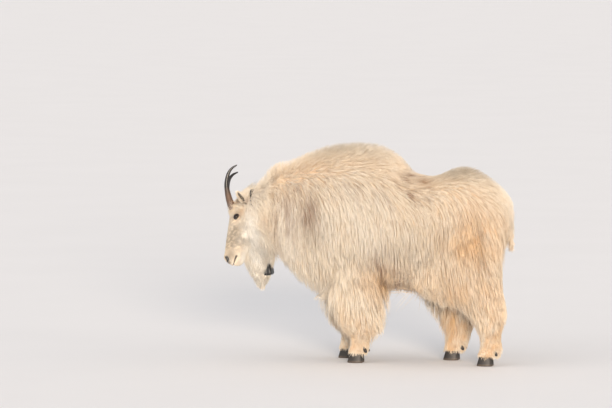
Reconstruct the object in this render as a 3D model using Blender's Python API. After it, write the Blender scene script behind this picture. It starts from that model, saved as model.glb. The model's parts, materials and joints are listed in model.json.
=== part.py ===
"""A mountain goat in its winter coat, standing, life size.

Metres, +Z up, the floor at Z = 0. The goat faces -X, and its left side is at -Y.
The flesh is lofted through named stations. The coat is a core over the flesh,
which reaches part of the way to the tips, and locks that are rooted in the core.
The body is modelled whole and then parted by thin cuts into its named nodes.
"""

import math
import random

import bmesh
import bpy
from mathutils import Matrix, Vector
from mathutils.bvhtree import BVHTree

# Driving dimensions, in metres
GAP = 0.0004  # left between neighbouring nodes
CORE_SHARE = 0.45  # how far the core reaches from the skin to the tips
CORONET = 0.046  # height at which the hooves begin
RUMP_COAT = 0.055  # depth of coat behind the rump
MIDDLE = Vector((-0.0073, -0.0003, 0.0))  # the move that centres the whole model on its box

# Where each leg's cannon stands: X and Y
CANNON = {
    "front_left": (-0.010, -0.112),
    "front_right": (-0.105, 0.108),
    "hind_left": (0.657, -0.128),
    "hind_right": (0.445, 0.122),
}
# From there to the middle of the hooves and to the dewclaws, along X
TOE_X = {"front_left": -0.014, "front_right": -0.014, "hind_left": -0.024, "hind_right": -0.030}
HEEL_X = {"front_left": 0.040, "front_right": 0.040, "hind_left": 0.034, "hind_right": 0.030}

# The trunk and neck from head to rump: X, the flesh's top, bottom and half width,
# then the depth of coat above, below and beside it
TRUNK = [
    (-0.600, 0.822, 0.668, 0.058, 0.040, 0.030, 0.040),
    (-0.540, 0.848, 0.642, 0.070, 0.072, 0.040, 0.050),
    (-0.480, 0.872, 0.612, 0.084, 0.098, 0.050, 0.058),
    (-0.420, 0.888, 0.580, 0.103, 0.101, 0.080, 0.062),
    (-0.360, 0.910, 0.540, 0.128, 0.101, 0.120, 0.065),
    (-0.300, 0.934, 0.505, 0.150, 0.103, 0.150, 0.065),
    (-0.220, 0.955, 0.482, 0.172, 0.115, 0.160, 0.065),
    (-0.120, 0.966, 0.472, 0.186, 0.122, 0.130, 0.065),
    (-0.020, 0.967, 0.468, 0.193, 0.126, 0.110, 0.065),
    (0.060, 0.953, 0.472, 0.197, 0.130, 0.110, 0.065),
    (0.120, 0.937, 0.480, 0.199, 0.118, 0.115, 0.062),
    (0.170, 0.921, 0.488, 0.199, 0.095, 0.125, 0.060),
    (0.210, 0.907, 0.496, 0.197, 0.055, 0.135, 0.055),
    (0.260, 0.900, 0.508, 0.193, 0.036, 0.150, 0.050),
    (0.330, 0.895, 0.530, 0.186, 0.030, 0.160, 0.052),
    (0.370, 0.894, 0.545, 0.182, 0.050, 0.160, 0.055),
    (0.430, 0.896, 0.565, 0.176, 0.074, 0.150, 0.060),
    (0.490, 0.897, 0.580, 0.168, 0.081, 0.130, 0.065),
    (0.550, 0.884, 0.595, 0.155, 0.080, 0.110, 0.065),
    (0.610, 0.850, 0.615, 0.130, 0.068, 0.090, 0.060),
    (0.650, 0.812, 0.640, 0.095, 0.062, 0.070, 0.055),
    (0.672, 0.765, 0.690, 0.045, 0.055, 0.050, 0.050),
]
TRUNK_RINGS = 19
TRUNK_SIDES = 12

# A front leg from the shoulder down: Z, the flesh's front and back measured from the
# cannon, its half width, then the depth of coat before, behind and beside it
FRONT_LEG = [
    (0.700, -0.110, 0.090, 0.045, 0.000, 0.000, 0.000),
    (0.600, -0.105, 0.085, 0.052, 0.020, 0.020, 0.020),
    (0.520, -0.085, 0.072, 0.050, 0.060, 0.050, 0.045),
    (0.450, -0.062, 0.050, 0.042, 0.090, 0.078, 0.052),
    (0.380, -0.048, 0.038, 0.036, 0.103, 0.100, 0.057),
    (0.310, -0.042, 0.036, 0.034, 0.110, 0.114, 0.058),
    (0.260, -0.038, 0.032, 0.031, 0.111, 0.120, 0.056),
    (0.215, -0.032, 0.028, 0.027, 0.098, 0.122, 0.050),
    (0.178, -0.028, 0.026, 0.025, 0.068, 0.112, 0.040),
    (0.155, -0.027, 0.026, 0.024, 0.030, 0.070, 0.026),
    (0.128, -0.028, 0.028, 0.025, 0.014, 0.018, 0.014),
    (0.098, -0.032, 0.034, 0.028, 0.012, 0.018, 0.013),
    (0.070, -0.040, 0.028, 0.029, 0.010, 0.022, 0.012),
    (0.046, -0.048, 0.026, 0.034, 0.008, 0.014, 0.008),
]

# The hind legs, the same way. The left one stands back, the right one forward.
HIND_LEG_BACK = [
    (0.760, -0.230, 0.000, 0.050, 0.000, 0.000, 0.000),
    (0.680, -0.258, 0.018, 0.060, 0.020, 0.030, 0.030),
    (0.600, -0.262, 0.020, 0.062, 0.045, 0.045, 0.050),
    (0.520, -0.245, 0.018, 0.058, 0.075, 0.045, 0.055),
    (0.450, -0.200, 0.018, 0.050, 0.100, 0.040, 0.055),
    (0.390, -0.130, 0.026, 0.042, 0.140, 0.032, 0.052),
    (0.340, -0.050, 0.044, 0.036, 0.190, 0.020, 0.046),
    (0.290, -0.020, 0.058, 0.031, 0.150, 0.020, 0.040),
    (0.240, -0.022, 0.044, 0.027, 0.085, 0.032, 0.034),
    (0.180, -0.024, 0.030, 0.025, 0.042, 0.026, 0.024),
    (0.150, -0.027, 0.029, 0.025, 0.030, 0.020, 0.020),
    (0.125, -0.030, 0.030, 0.026, 0.018, 0.020, 0.017),
    (0.098, -0.036, 0.034, 0.029, 0.013, 0.026, 0.015),
    (0.070, -0.048, 0.024, 0.030, 0.010, 0.036, 0.013),
    (0.046, -0.058, 0.020, 0.034, 0.008, 0.022, 0.009),
]
HIND_LEG_FORWARD = [
    (0.760, -0.080, 0.170, 0.050, 0.000, 0.000, 0.000),
    (0.680, -0.100, 0.185, 0.060, 0.020, 0.030, 0.030),
    (0.600, -0.105, 0.170, 0.062, 0.045, 0.045, 0.050),
    (0.520, -0.105, 0.140, 0.058, 0.085, 0.045, 0.055),
    (0.450, -0.085, 0.122, 0.050, 0.110, 0.040, 0.055),
    (0.390, -0.030, 0.130, 0.042, 0.150, 0.040, 0.052),
    (0.340, 0.026, 0.140, 0.036, 0.176, 0.030, 0.044),
    (0.290, 0.034, 0.116, 0.031, 0.160, 0.025, 0.036),
    (0.240, 0.018, 0.080, 0.027, 0.120, 0.026, 0.032),
    (0.180, -0.006, 0.050, 0.025, 0.075, 0.028, 0.027),
    (0.150, -0.017, 0.040, 0.025, 0.048, 0.034, 0.023),
    (0.125, -0.028, 0.030, 0.026, 0.028, 0.036, 0.019),
    (0.098, -0.040, 0.028, 0.029, 0.022, 0.028, 0.016),
    (0.070, -0.054, 0.018, 0.030, 0.014, 0.030, 0.013),
    (0.046, -0.064, 0.014, 0.034, 0.009, 0.018, 0.009),
]
LEG_TABLES = {
    "front_left": FRONT_LEG,
    "front_right": FRONT_LEG,
    "hind_left": HIND_LEG_BACK,
    "hind_right": HIND_LEG_FORWARD,
}
LEG_RINGS = 14
LEG_SIDES = 8
SHORT_BELOW = {"front": 0.135, "hind": 0.320}  # where the core reaches the tips of each leg's coat

# The head in its own frame: x from the back of the skull to the muzzle, y to the left,
# z towards the forehead. Each station: x, top, bottom, half width
HEAD = [
    (-0.010, 0.034, -0.038, 0.034),
    (0.000, 0.052, -0.056, 0.048),
    (0.035, 0.077, -0.080, 0.060),
    (0.065, 0.085, -0.090, 0.064),
    (0.095, 0.080, -0.092, 0.065),
    (0.125, 0.074, -0.088, 0.060),
    (0.160, 0.069, -0.079, 0.051),
    (0.200, 0.063, -0.070, 0.043),
    (0.240, 0.057, -0.061, 0.038),
    (0.275, 0.052, -0.056, 0.036),
    (0.302, 0.048, -0.052, 0.036),
    (0.321, 0.041, -0.045, 0.032),
    (0.334, 0.028, -0.032, 0.023),
    (0.341, 0.010, -0.014, 0.011),
]
HEAD_RINGS = 20
HEAD_SIDES = 16
HEAD_AT = Vector((-0.600, 0.0, 0.790))
HEAD_LEAN = math.radians(15)  # of the head's length from straight down
HEAD_YAW = math.radians(12)  # to the goat's left
HEAD_ROLL = math.radians(-18)  # crown to the goat's right
HEAD_PIVOT = 0.10  # how far along the head it turns

EYE = Vector((0.107, 0.0490, 0.036))
EYE_RADIUS = 0.0145

# The left horn's middle line in the head's frame, and its radius at each point
HORN = [
    (0.068, 0.024, 0.068, 0.0165),
    (0.048, 0.028, 0.082, 0.0170),
    (0.015, 0.035, 0.103, 0.0155),
    (-0.020, 0.043, 0.122, 0.0132),
    (-0.055, 0.051, 0.133, 0.0110),
    (-0.095, 0.059, 0.135, 0.0086),
    (-0.125, 0.066, 0.124, 0.0060),
    (-0.146, 0.072, 0.104, 0.0028),
]
HORN_RINGS = 15
HORN_SIDES = 7

EAR_ROOT = Vector((0.034, 0.046, 0.010))
EAR_TIP = Vector((-0.002, 0.118, 0.059))
EAR_HALF_WIDTH = 0.021
EAR_WALL = 0.006

# The ruff behind the jaw and the beard, one mass of hair from the cheeks to its tip:
# Z, front X, rear X and half width out to the tips, then how deep the hair is
RUFF = [
    (0.770, -0.590, -0.560, 0.055, 0.020),
    (0.730, -0.600, -0.540, 0.078, 0.030),
    (0.680, -0.606, -0.512, 0.090, 0.040),
    (0.620, -0.604, -0.497, 0.090, 0.045),
    (0.570, -0.604, -0.488, 0.080, 0.050),
    (0.520, -0.616, -0.486, 0.066, 0.055),
    (0.470, -0.613, -0.494, 0.052, 0.050),
    (0.420, -0.586, -0.508, 0.037, 0.036),
    (0.385, -0.562, -0.524, 0.020, 0.018),
    (0.368, -0.551, -0.534, 0.008, 0.006),
]
RUFF_RINGS = 8
RUFF_SIDES = 8
RUFF_DROP = 0.095  # how far the beard's core ends above its tip

TAIL_ROOT = Vector((0.672, 0.0, 0.765))
TAIL_TIP = Vector((0.742, 0.0, 0.545))

# The strap hangs loosely round the neck behind the jaw, with its housing at the throat
STRAP_AT = Vector((-0.540, 0.0, 0.6635))
STRAP_LEAN = math.radians(9.4)
STRAP_HALF_HEIGHT = 0.185
STRAP_HALF_WIDTH = 0.076
STRAP_PINCH = 0.55  # how much the loose lower half draws in
STRAP_WIDTH = 0.042
STRAP_THICKNESS = 0.004
HOUSING = (0.046, 0.072, 0.060)

# Locks: sunk at the root by this much, the thickness of their middle ridge there, and how
# far along each ring stands with its share of the width and of the ridge, up to the tip
LOCK_SUNK = 0.013
LOCK_RIDGE = 0.010
FINE_RIDGE = 0.008  # on the beard, the tail and the covering locks
LOCK_MARKS = (0.27, 0.54, 0.79, 1.0)
LOCK_WIDTHS = (0.60, 1.0, 0.84, 0.46)
LOCK_RIDGES = (1.0, 0.95, 0.75, 0.45)
SHARPEST_BEND = math.radians(50)
HANGING = Vector((0.1, 0.0, -1.0))  # the lie of the locks that hang nearly straight down
HALF_ACROSS = 0.255  # the farthest that a lock's middle goes to the side
FARTHEST_BACK = 0.760  # and to the rear
SEED = 16

# The trunk's locks in rows from the crest down one side: the angle round the ring from
# the crest, the rise from the surface, shortest and longest lock, width, droop and spacing
TRUNK_LOCKS = [
    (8, 0.70, 0.080, 0.140, 0.106, 0.00, 0.106),
    (36, 0.46, 0.150, 0.200, 0.116, 0.12, 0.121),
    (66, 0.30, 0.220, 0.245, 0.120, 0.28, 0.130),
    (95, 0.25, 0.250, 0.270, 0.120, 0.38, 0.131),
    (124, 0.36, 0.235, 0.265, 0.116, 0.60, 0.131),
    (158, 0.70, 0.180, 0.220, 0.110, 1.10, 0.155),
]
TRUNK_LOCKS_FROM = -0.540
TRUNK_LOCKS_TO = 0.655

# The legs' locks in rings: height, count, length and width
FRONT_LOCKS = [(0.395, 6, 0.185, 0.088), (0.300, 6, 0.160, 0.084)]
HIND_LOCKS = [
    (0.690, 5, 0.220, 0.105),
    (0.590, 5, 0.210, 0.105),
    (0.490, 5, 0.190, 0.100),
    (0.400, 5, 0.160, 0.088),
]

# The ruff's and beard's locks in rings: height, count, length and width
RUFF_LOCKS = [(0.690, 5, 0.150, 0.076), (0.585, 5, 0.155, 0.076), (0.500, 5, 0.145, 0.056)]

# More locks on both sides, over the strap and down the back of the rump: place, length, width
COVER_LOCKS = [
    ((-0.540, 0.095, 0.705), 0.170, 0.085),
    ((-0.512, 0.095, 0.630), 0.160, 0.080),
    ((0.700, 0.070, 0.740), 0.190, 0.080),
    ((0.680, 0.075, 0.620), 0.190, 0.085),
]

# The tail's locks: how far down it they are rooted, their place across it, and their length
TAIL_LOCK_WIDTH = 0.050
TAIL_LOCKS = [(0.10, 0.6, 0.16), (0.15, -0.6, 0.15), (0.30, 0.0, 0.16), (0.50, -0.1, 0.13)]

# The order in which nodes get their locks, each cut clear of those before it
DRESS_ORDER = ["torso", "neck", "rump", "tail", "head"] + [
    half + leg for half in ("upper_leg_", "lower_leg_") for leg in CANNON
]

# The cuts that part the body
HEAD_CUT_AT = Vector((-0.556, 0.0, 0.672))
NECK_CUT_X = -0.375
RUMP_CUT_X = 0.245
LEG_CUT_Z = {"front": 0.418, "hind": 0.520}
SHANK_CUT_Z = {"front": 0.140, "hind": 0.285}
LEG_CUT_Y = 0.028


# The scene and its materials

def clear_scene():
    """Remove every object of the startup scene."""
    for obj in list(bpy.data.objects):
        bpy.data.objects.remove(obj, do_unlink=True)


def material(name, colour, roughness):
    """A plain Principled finish."""
    made = bpy.data.materials.new(name)
    made.use_nodes = True
    surface = made.node_tree.nodes["Principled BSDF"]
    surface.inputs["Base Color"].default_value = (*colour, 1.0)
    surface.inputs["Roughness"].default_value = roughness
    surface.inputs["Metallic"].default_value = 0.0
    return made


# Curves, rings and lofts

def smooth_at(table, value):
    """Read a table of rows, sorted by their first column, with a smooth cubic."""
    rows = table if table[0][0] < table[-1][0] else table[::-1]
    value = min(max(value, rows[0][0]), rows[-1][0])
    i = 0
    while i < len(rows) - 2 and rows[i + 1][0] < value:
        i += 1
    before, here, there, after = (
        rows[max(i - 1, 0)],
        rows[i],
        rows[i + 1],
        rows[min(i + 2, len(rows) - 1)],
    )
    span = there[0] - here[0]
    t = (value - here[0]) / span
    found = []
    for k in range(1, len(here)):
        m0 = (there[k] - before[k]) / (there[0] - before[0]) * span
        m1 = (after[k] - here[k]) / (after[0] - here[0]) * span
        found.append(
            (2 * t**3 - 3 * t**2 + 1) * here[k]
            + (t**3 - 2 * t**2 + t) * m0
            + (3 * t**2 - 2 * t**3) * there[k]
            + (t**3 - t**2) * m1
        )
    return found


def spread(table, count):
    """First-column values, evenly spaced by station number, so that close stations get close rings."""
    stations = [row[0] for row in table]
    values = []
    for i in range(count):
        place = i * (len(stations) - 1) / (count - 1)
        k = min(int(place), len(stations) - 2)
        values.append(stations[k] + (stations[k + 1] - stations[k]) * (place - k))
    return values


def oval(sides, half_width, up, down, power=2.2):
    """Points (across, height) of a rounded ring with its own height above and below."""
    points = []
    for i in range(sides):
        turn = 2 * math.pi * i / sides
        c, s = math.cos(turn), math.sin(turn)
        across = math.copysign(abs(c) ** (2 / power), c) * half_width
        height = math.copysign(abs(s) ** (2 / power), s) * (up if s > 0 else down)
        points.append((across, height))
    return points


def add_object(name, bm, finish, smooth=True):
    """Turn a bmesh into a named object, with its faces pointing out."""
    bmesh.ops.recalc_face_normals(bm, faces=bm.faces)
    mesh = bpy.data.meshes.new(name)
    bm.to_mesh(mesh)
    bm.free()
    if smooth:
        mesh.shade_smooth()
        mesh.set_sharp_from_angle(angle=math.radians(40))
    obj = bpy.data.objects.new(name, mesh)
    bpy.context.scene.collection.objects.link(obj)
    obj.data.materials.append(finish)
    return obj


def loft(name, rings, finish):
    """Skin a list of rings of points, and close both ends."""
    bm = bmesh.new()
    loops = [[bm.verts.new(point) for point in ring] for ring in rings]
    for one, other in zip(loops, loops[1:]):
        count = len(one)
        for i in range(count):
            j = (i + 1) % count
            bm.faces.new((one[i], one[j], other[j], other[i]))
    for ring in (loops[0], loops[-1]):
        middle = bm.verts.new(sum((v.co for v in ring), Vector()) / len(ring))
        for i, vert in enumerate(ring):
            bm.faces.new((vert, ring[(i + 1) % len(ring)], middle))
    return add_object(name, bm, finish)


# Booleans

def apply_boolean(obj, operation, others):
    """Join or cut obj with closed mesh objects, which are then removed."""
    group = bpy.data.collections.new("operands")
    for other in others:
        group.objects.link(other)
    boolean = obj.modifiers.new("Boolean", "BOOLEAN")
    boolean.operation = operation
    boolean.operand_type = "COLLECTION"
    boolean.collection = group
    boolean.solver = "MANIFOLD"
    graph = bpy.context.evaluated_depsgraph_get()
    joined = bpy.data.meshes.new_from_object(obj.evaluated_get(graph))
    obj.modifiers.clear()
    joined.name = obj.name
    obj.data = joined
    for other in list(group.objects):
        bpy.data.objects.remove(other, do_unlink=True)
    bpy.data.collections.remove(group)


def keep_largest(obj):
    """Keep only the largest closed surface, which fills sealed hollows and drops scraps."""
    bm = bmesh.new()
    bm.from_mesh(obj.data)
    unseen = set(bm.faces)
    bodies = []
    while unseen:
        front = [unseen.pop()]
        body = list(front)
        while front:
            face = front.pop()
            for edge in face.edges:
                for near in edge.link_faces:
                    if near in unseen:
                        unseen.remove(near)
                        front.append(near)
                        body.append(near)
        bodies.append(body)
    largest = max(bodies, key=lambda body: sum(face.calc_area() for face in body))
    dropped = [face for body in bodies if body is not largest for face in body]
    bmesh.ops.delete(bm, geom=dropped, context="FACES")
    bm.to_mesh(obj.data)
    bm.free()


def copy_of(obj, name):
    """A separate object with its own mesh."""
    made = obj.copy()
    made.data = obj.data.copy()
    made.name = name
    bpy.context.scene.collection.objects.link(made)
    return made


def grown(obj, by=GAP):
    """A slightly larger copy, used to cut room for obj in its neighbour."""
    made = copy_of(obj, obj.name + "_room")
    bm = bmesh.new()
    bm.from_mesh(made.data)
    bm.normal_update()
    moves = [(vert, vert.normal * by * 1.3) for vert in bm.verts]
    for vert, move in moves:
        vert.co += move
    bm.to_mesh(made.data)
    bm.free()
    return made


def block(name, low, high, finish):
    """An upright box between two corners."""
    bm = bmesh.new()
    bmesh.ops.create_cube(bm, size=1.0)
    low, high = Vector(low), Vector(high)
    for vert in bm.verts:
        vert.co = Vector(
            low[k] + (high[k] - low[k]) * (vert.co[k] + 0.5) for k in range(3)
        )
    return add_object(name, bm, finish, smooth=False)


# The trunk, neck and legs

def rearward(x, share):
    """How far the coat behind the rump moves a trunk ring back."""
    return share * RUMP_COAT * max(0.0, min(1.0, (x - 0.52) / 0.15)) ** 2


def trunk_ring(x, share):
    """One upright ring of the trunk, with that share of its coat."""
    top, bottom, half, above, below, beside = smooth_at(TRUNK, x)
    widest = bottom + 0.48 * (top - bottom)
    points = oval(
        TRUNK_SIDES,
        half + share * beside,
        top + share * above - widest,
        widest - bottom + share * below,
    )
    place = x + rearward(x, share)
    return [Vector((place, across, widest + height)) for across, height in points]


def make_trunk(share, finish):
    rings = [trunk_ring(x, share) for x in spread(TRUNK, TRUNK_RINGS)]
    return loft("trunk", rings, finish)


def leg_share(table, z, share):
    """The share of a leg's coat at a height, which rises to all of it lower down."""
    short = SHORT_BELOW["front" if table is FRONT_LEG else "hind"]
    shortness = max(0.0, min(1.0, (short + 0.06 - z) / 0.06))
    return share + (1.0 - share) * shortness


def leg_ring(table, z, foot, share):
    """One level ring of a leg, with that share of its coat."""
    front, back, half, before, behind, beside = smooth_at(table, z)
    share = leg_share(table, z, share)
    front -= share * before
    back += share * behind
    half += share * beside
    middle = (front + back) / 2
    reach = (back - front) / 2
    return [
        Vector((foot[0] + middle + along, foot[1] + across, z))
        for along, across in oval(LEG_SIDES, reach, half, half)
    ]


def make_leg(name, table, foot, share, finish):
    rings = [leg_ring(table, z, foot, share) for z in spread(table, LEG_RINGS)]
    return loft(name, rings, finish)


def make_ruff(share, finish):
    """The hair under the jaw and its beard, drawn in and up as its share of the hair shrinks."""
    top, tip = RUFF[0][0], RUFF[-1][0]
    rings = []
    for z in spread(RUFF, RUFF_RINGS):
        front, rear, half, depth = smooth_at(RUFF, z)
        half = max(half - (1.0 - share) * depth, 0.005)
        rear -= (1.0 - share) * depth
        middle, reach = (front + rear) / 2, max((rear - front) / 2, 0.005)
        level = z + (1.0 - share) * RUFF_DROP * ((top - z) / (top - tip)) ** 2
        points = oval(RUFF_SIDES, reach, half, half)
        rings.append([Vector((middle + x, y, level)) for x, y in points])
    return loft("ruff", rings, finish)


# The head

def head_matrix():
    """From the head's own frame to the model's."""
    lean = HEAD_LEAN
    along = Vector((-math.sin(lean), 0.0, -math.cos(lean)))
    left = Vector((0.0, -1.0, 0.0))
    brow = Vector((-math.cos(lean), 0.0, math.sin(lean)))
    frame = Matrix((along, left, brow)).transposed().to_4x4()
    pivot = HEAD_AT + along * HEAD_PIVOT
    turn = Matrix.Rotation(HEAD_YAW, 4, "Z") @ Matrix.Rotation(HEAD_ROLL, 4, "X")
    return (
        Matrix.Translation(pivot)
        @ turn
        @ Matrix.Translation(HEAD_AT - pivot)
        @ frame
    )


def bump(point, centre, radius):
    """A soft hill of height 1 at centre, gone at about twice the radius."""
    return math.exp(-((point - centre).length_squared) / radius**2)


def sculpt_head(point):
    """Raise the brow and cheekbone, sink the eye's hollow and shape the muzzle."""
    mirrored = Vector((point.x, abs(point.y), point.z))
    out = Vector((0.0, math.copysign(1.0, point.y), 0.0))
    move = Vector()
    move -= out * 0.0060 * bump(mirrored, Vector((0.112, 0.058, 0.030)), 0.020)
    move += out * 0.0055 * bump(mirrored, Vector((0.096, 0.052, 0.054)), 0.016)
    move += out * 0.0045 * bump(mirrored, Vector((0.130, 0.058, 0.008)), 0.020)
    move -= out * 0.0050 * bump(mirrored, Vector((0.175, 0.045, 0.034)), 0.026)
    move += out * 0.0035 * bump(mirrored, Vector((0.308, 0.030, 0.020)), 0.014)
    move -= out * 0.0030 * bump(mirrored, Vector((0.275, 0.036, -0.010)), 0.014)
    move.z += 0.0030 * bump(point, Vector((0.314, 0.0, 0.044)), 0.018)
    return point + move


def mouth_cutter(finish):
    """A thin horseshoe blade that leaves the line of the mouth between the lips."""
    corner, front, inner = 0.284, 0.360, 0.328
    outline = [
        (corner, 0.060), (front, 0.060), (front, -0.060), (corner, -0.060),
        (corner, -0.031), (0.300, -0.029), (0.320, -0.018), (inner, 0.0),
        (0.320, 0.018), (0.300, 0.029), (corner, 0.031),
    ]
    half_slit = 0.0011
    bm = bmesh.new()
    lower, upper = [], []
    for x, y in outline:
        level = -0.016 + 0.10 * (x - corner)
        lower.append(bm.verts.new((x, y, level - half_slit)))
        upper.append(bm.verts.new((x, y, level + half_slit)))
    bm.faces.new(lower[::-1])
    bm.faces.new(upper)
    for i in range(len(outline)):
        j = (i + 1) % len(outline)
        bm.faces.new((lower[i], lower[j], upper[j], upper[i]))
    bmesh.ops.triangulate(bm, faces=bm.faces)
    return add_object("mouth_cutter", bm, finish, smooth=False)


def ball(name, centre, radii, finish, segments=10, rings=7, turn=None):
    """An ellipsoid."""
    bm = bmesh.new()
    bmesh.ops.create_uvsphere(bm, u_segments=segments, v_segments=rings, radius=1.0)
    matrix = Matrix.Diagonal((*radii, 1.0))
    if turn is not None:
        matrix = turn.to_4x4() @ matrix
    matrix = Matrix.Translation(centre) @ matrix
    bmesh.ops.transform(bm, matrix=matrix, verts=bm.verts)
    return add_object(name, bm, finish)


def mirrored(vector, side):
    """The place on the left (side 1) or right (side -1) of the head."""
    return Vector((vector.x, vector.y * side, vector.z))


def nostril_cutter(side, finish):
    """A slanting comma of a hole beside the tip of the nose."""
    turn = Matrix.Rotation(math.radians(-38 * side), 3, "Y")
    place = mirrored(Vector((0.320, 0.025, 0.026)), side)
    slant = Matrix.Rotation(math.radians(35 * side), 3, "Z")
    return ball("nostril_cutter", place, (0.0045, 0.0105, 0.0085), finish, 8, 6, turn @ slant)


def lid_ring(side, finish):
    """The rolled edge of both lids, an almond-shaped ring round the eyeball."""
    steps, sides, thick = 12, 4, 0.0032
    rings = []
    for i in range(steps):
        turn = 2 * math.pi * i / steps
        along = 0.0135 * math.cos(turn)
        rise = 0.0090 * math.sin(turn) * (1.0 - 0.25 * abs(math.cos(turn)))
        out = math.sqrt(max((EYE_RADIUS + 0.0006) ** 2 - along**2 - rise**2, 0.0))
        rings.append(Vector((along, out, rise)))
    bm = bmesh.new()
    loops = []
    for i, centre in enumerate(rings):
        ahead = (rings[(i + 1) % steps] - rings[i - 1]).normalized()
        outward = centre.normalized()
        across = ahead.cross(outward).normalized()
        loop = []
        for k in range(sides):
            angle = 2 * math.pi * k / sides
            offset = (outward * math.cos(angle) + across * math.sin(angle)) * thick
            spot = EYE + centre + offset
            loop.append(bm.verts.new(mirrored(spot, side)))
        loops.append(loop)
    for i, loop in enumerate(loops):
        after = loops[(i + 1) % steps]
        for k in range(sides):
            m = (k + 1) % sides
            bm.faces.new((loop[k], loop[m], after[m], after[k]))
    return add_object("lids", bm, finish)


def make_head(finish):
    """The skull and muzzle with lids, nostrils and the line of the mouth, in the head's frame."""
    rings = []
    for x in spread(HEAD, HEAD_RINGS):
        top, bottom, half = smooth_at(HEAD, x)
        points = oval(HEAD_SIDES, half, top, -bottom, 2.15)
        rings.append([sculpt_head(Vector((x, y, z))) for y, z in points])
    head = loft("head", rings, finish)
    apply_boolean(head, "UNION", [lid_ring(side, finish) for side in (1, -1)])
    cutters = [mouth_cutter(finish)]
    for side in (1, -1):
        cutters.append(nostril_cutter(side, finish))
        cutters.append(
            ball("socket", mirrored(EYE, side), (EYE_RADIUS + GAP,) * 3, finish)
        )
    apply_boolean(head, "DIFFERENCE", cutters)
    return head


def make_horn(name, side, finish):
    """A slender horn, ringed near its base, which curves back to a sharp tip."""
    table = [(i, *row) for i, row in enumerate(HORN)]
    rings = []
    for i in range(HORN_RINGS):
        place = i * (len(HORN) - 1) / (HORN_RINGS - 1)
        x, y, z, radius = smooth_at(table, place)
        ahead = Vector(smooth_at(table, place + 0.1)[:3])
        behind = Vector(smooth_at(table, place - 0.1)[:3])
        along = (ahead - behind).normalized()
        across = along.cross(Vector((0.0, 1.0, 0.0))).normalized()
        beside = along.cross(across).normalized()
        ringed = 1.0 + 0.045 * math.cos(i * math.pi) * (1.0 if i < 8 else 0.0)
        centre = Vector((x, y, z))
        ring = []
        for k in range(HORN_SIDES):
            angle = 2 * math.pi * k / HORN_SIDES
            offset = across * math.cos(angle) * 1.08 + beside * math.sin(angle) * 0.92
            ring.append(mirrored(centre + offset * radius * ringed, side))
        rings.append(ring)
    return loft(name, rings, finish)


def make_ear(name, side, finish):
    """A leaf-shaped ear whose hollow faces forwards and out."""
    along = (EAR_TIP - EAR_ROOT).normalized()
    facing = Vector((0.75, 0.30, 0.25))
    facing = (facing - along * facing.dot(along)).normalized()
    across = along.cross(facing).normalized()
    length = (EAR_TIP - EAR_ROOT).length
    arc = 4
    rings = []
    shape = [
        (0.00, 0.50, 0.10), (0.12, 0.62, 0.45), (0.28, 0.88, 0.72), (0.45, 1.00, 0.75),
        (0.62, 0.92, 0.62), (0.78, 0.70, 0.45), (0.91, 0.38, 0.25), (1.00, 0.10, 0.05),
    ]
    for share, width, hollow in shape:
        half = EAR_HALF_WIDTH * width
        back = half * 0.95
        centre = EAR_ROOT + along * length * share
        ring = []
        for k in range(arc + 1):
            angle = math.pi * k / arc
            offset = across * half * math.cos(angle) - facing * back * math.sin(angle)
            ring.append(centre + offset)
        for k in range(arc - 1, 0, -1):
            angle = math.pi * k / arc
            inner = max(half - EAR_WALL, half * 0.3)
            depth = max(back - EAR_WALL, back * 0.3) * hollow
            offset = across * inner * math.cos(angle) - facing * depth * math.sin(angle)
            ring.append(centre + offset)
        rings.append([mirrored(point, side) for point in ring])
    return loft(name, rings, finish)


# Locks

def coat_body(share, finish):
    """Trunk, legs and ruff as one closed body, with that share of the coat."""
    trunk = make_trunk(share, finish)
    parts = [make_ruff(share, finish)]
    for leg, table in LEG_TABLES.items():
        parts.append(make_leg(leg, table, CANNON[leg], share, finish))
    apply_boolean(trunk, "UNION", parts)
    return trunk


def surface_of(obj):
    """A lookup for the nearest point of an object's surface."""
    return BVHTree.FromObject(obj, bpy.context.evaluated_depsgraph_get())


def lock_path(core, tips, root, lie, rise, lengths, droop, ride=0.0):
    """Points and facings along a lock that leaves the core and ends at the coat's tips."""
    spot, normal, _, away = core.find_nearest(root)
    if away > 0.012:
        return None
    lie = (lie - normal * lie.dot(normal)).normalized()
    hit = tips.ray_cast(spot + normal * 0.001, normal, 0.30)
    depth = hit[3] if hit[0] else 0.02
    length = min(max(depth / rise, lengths[0]), lengths[1])
    lift = min(depth / length, 0.97)
    heading = lie * math.sqrt(1.0 - lift**2) + normal * lift
    outward = Vector((0.0, math.copysign(1.0, spot.y), 0.0))
    sideways = outward * 1.6 * max(0.0, lift - 0.35)
    points = [spot - (heading + normal).normalized() * LOCK_SUNK]
    ups = [normal + sideways]
    place = spot
    for before, mark in zip((0.0, *LOCK_MARKS), LOCK_MARKS):
        stride = mark - before
        heading = (heading + Vector((0.0, 0.0, -droop * stride))).normalized()
        place = place + heading * length * stride
        near, up, _, _ = core.find_nearest(place)
        clear = near + up * max(0.7 * depth * mark + ride, 0.008)
        below = (place - near).dot(up) < (clear - near).length
        if below and up.dot(normal) > 0.3 and (clear - place).length < 0.04:
            place = clear
        place.x = min(place.x, FARTHEST_BACK)
        place.y = min(max(place.y, -HALF_ACROSS), HALF_ACROSS)
        points.append(place.copy())
        ups.append(up + sideways)
    strides = [after - before for before, after in zip(points, points[1:])]
    if any(one.angle(other) > SHARPEST_BEND for one, other in zip(strides, strides[1:])):
        return None
    return points, ups


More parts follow.
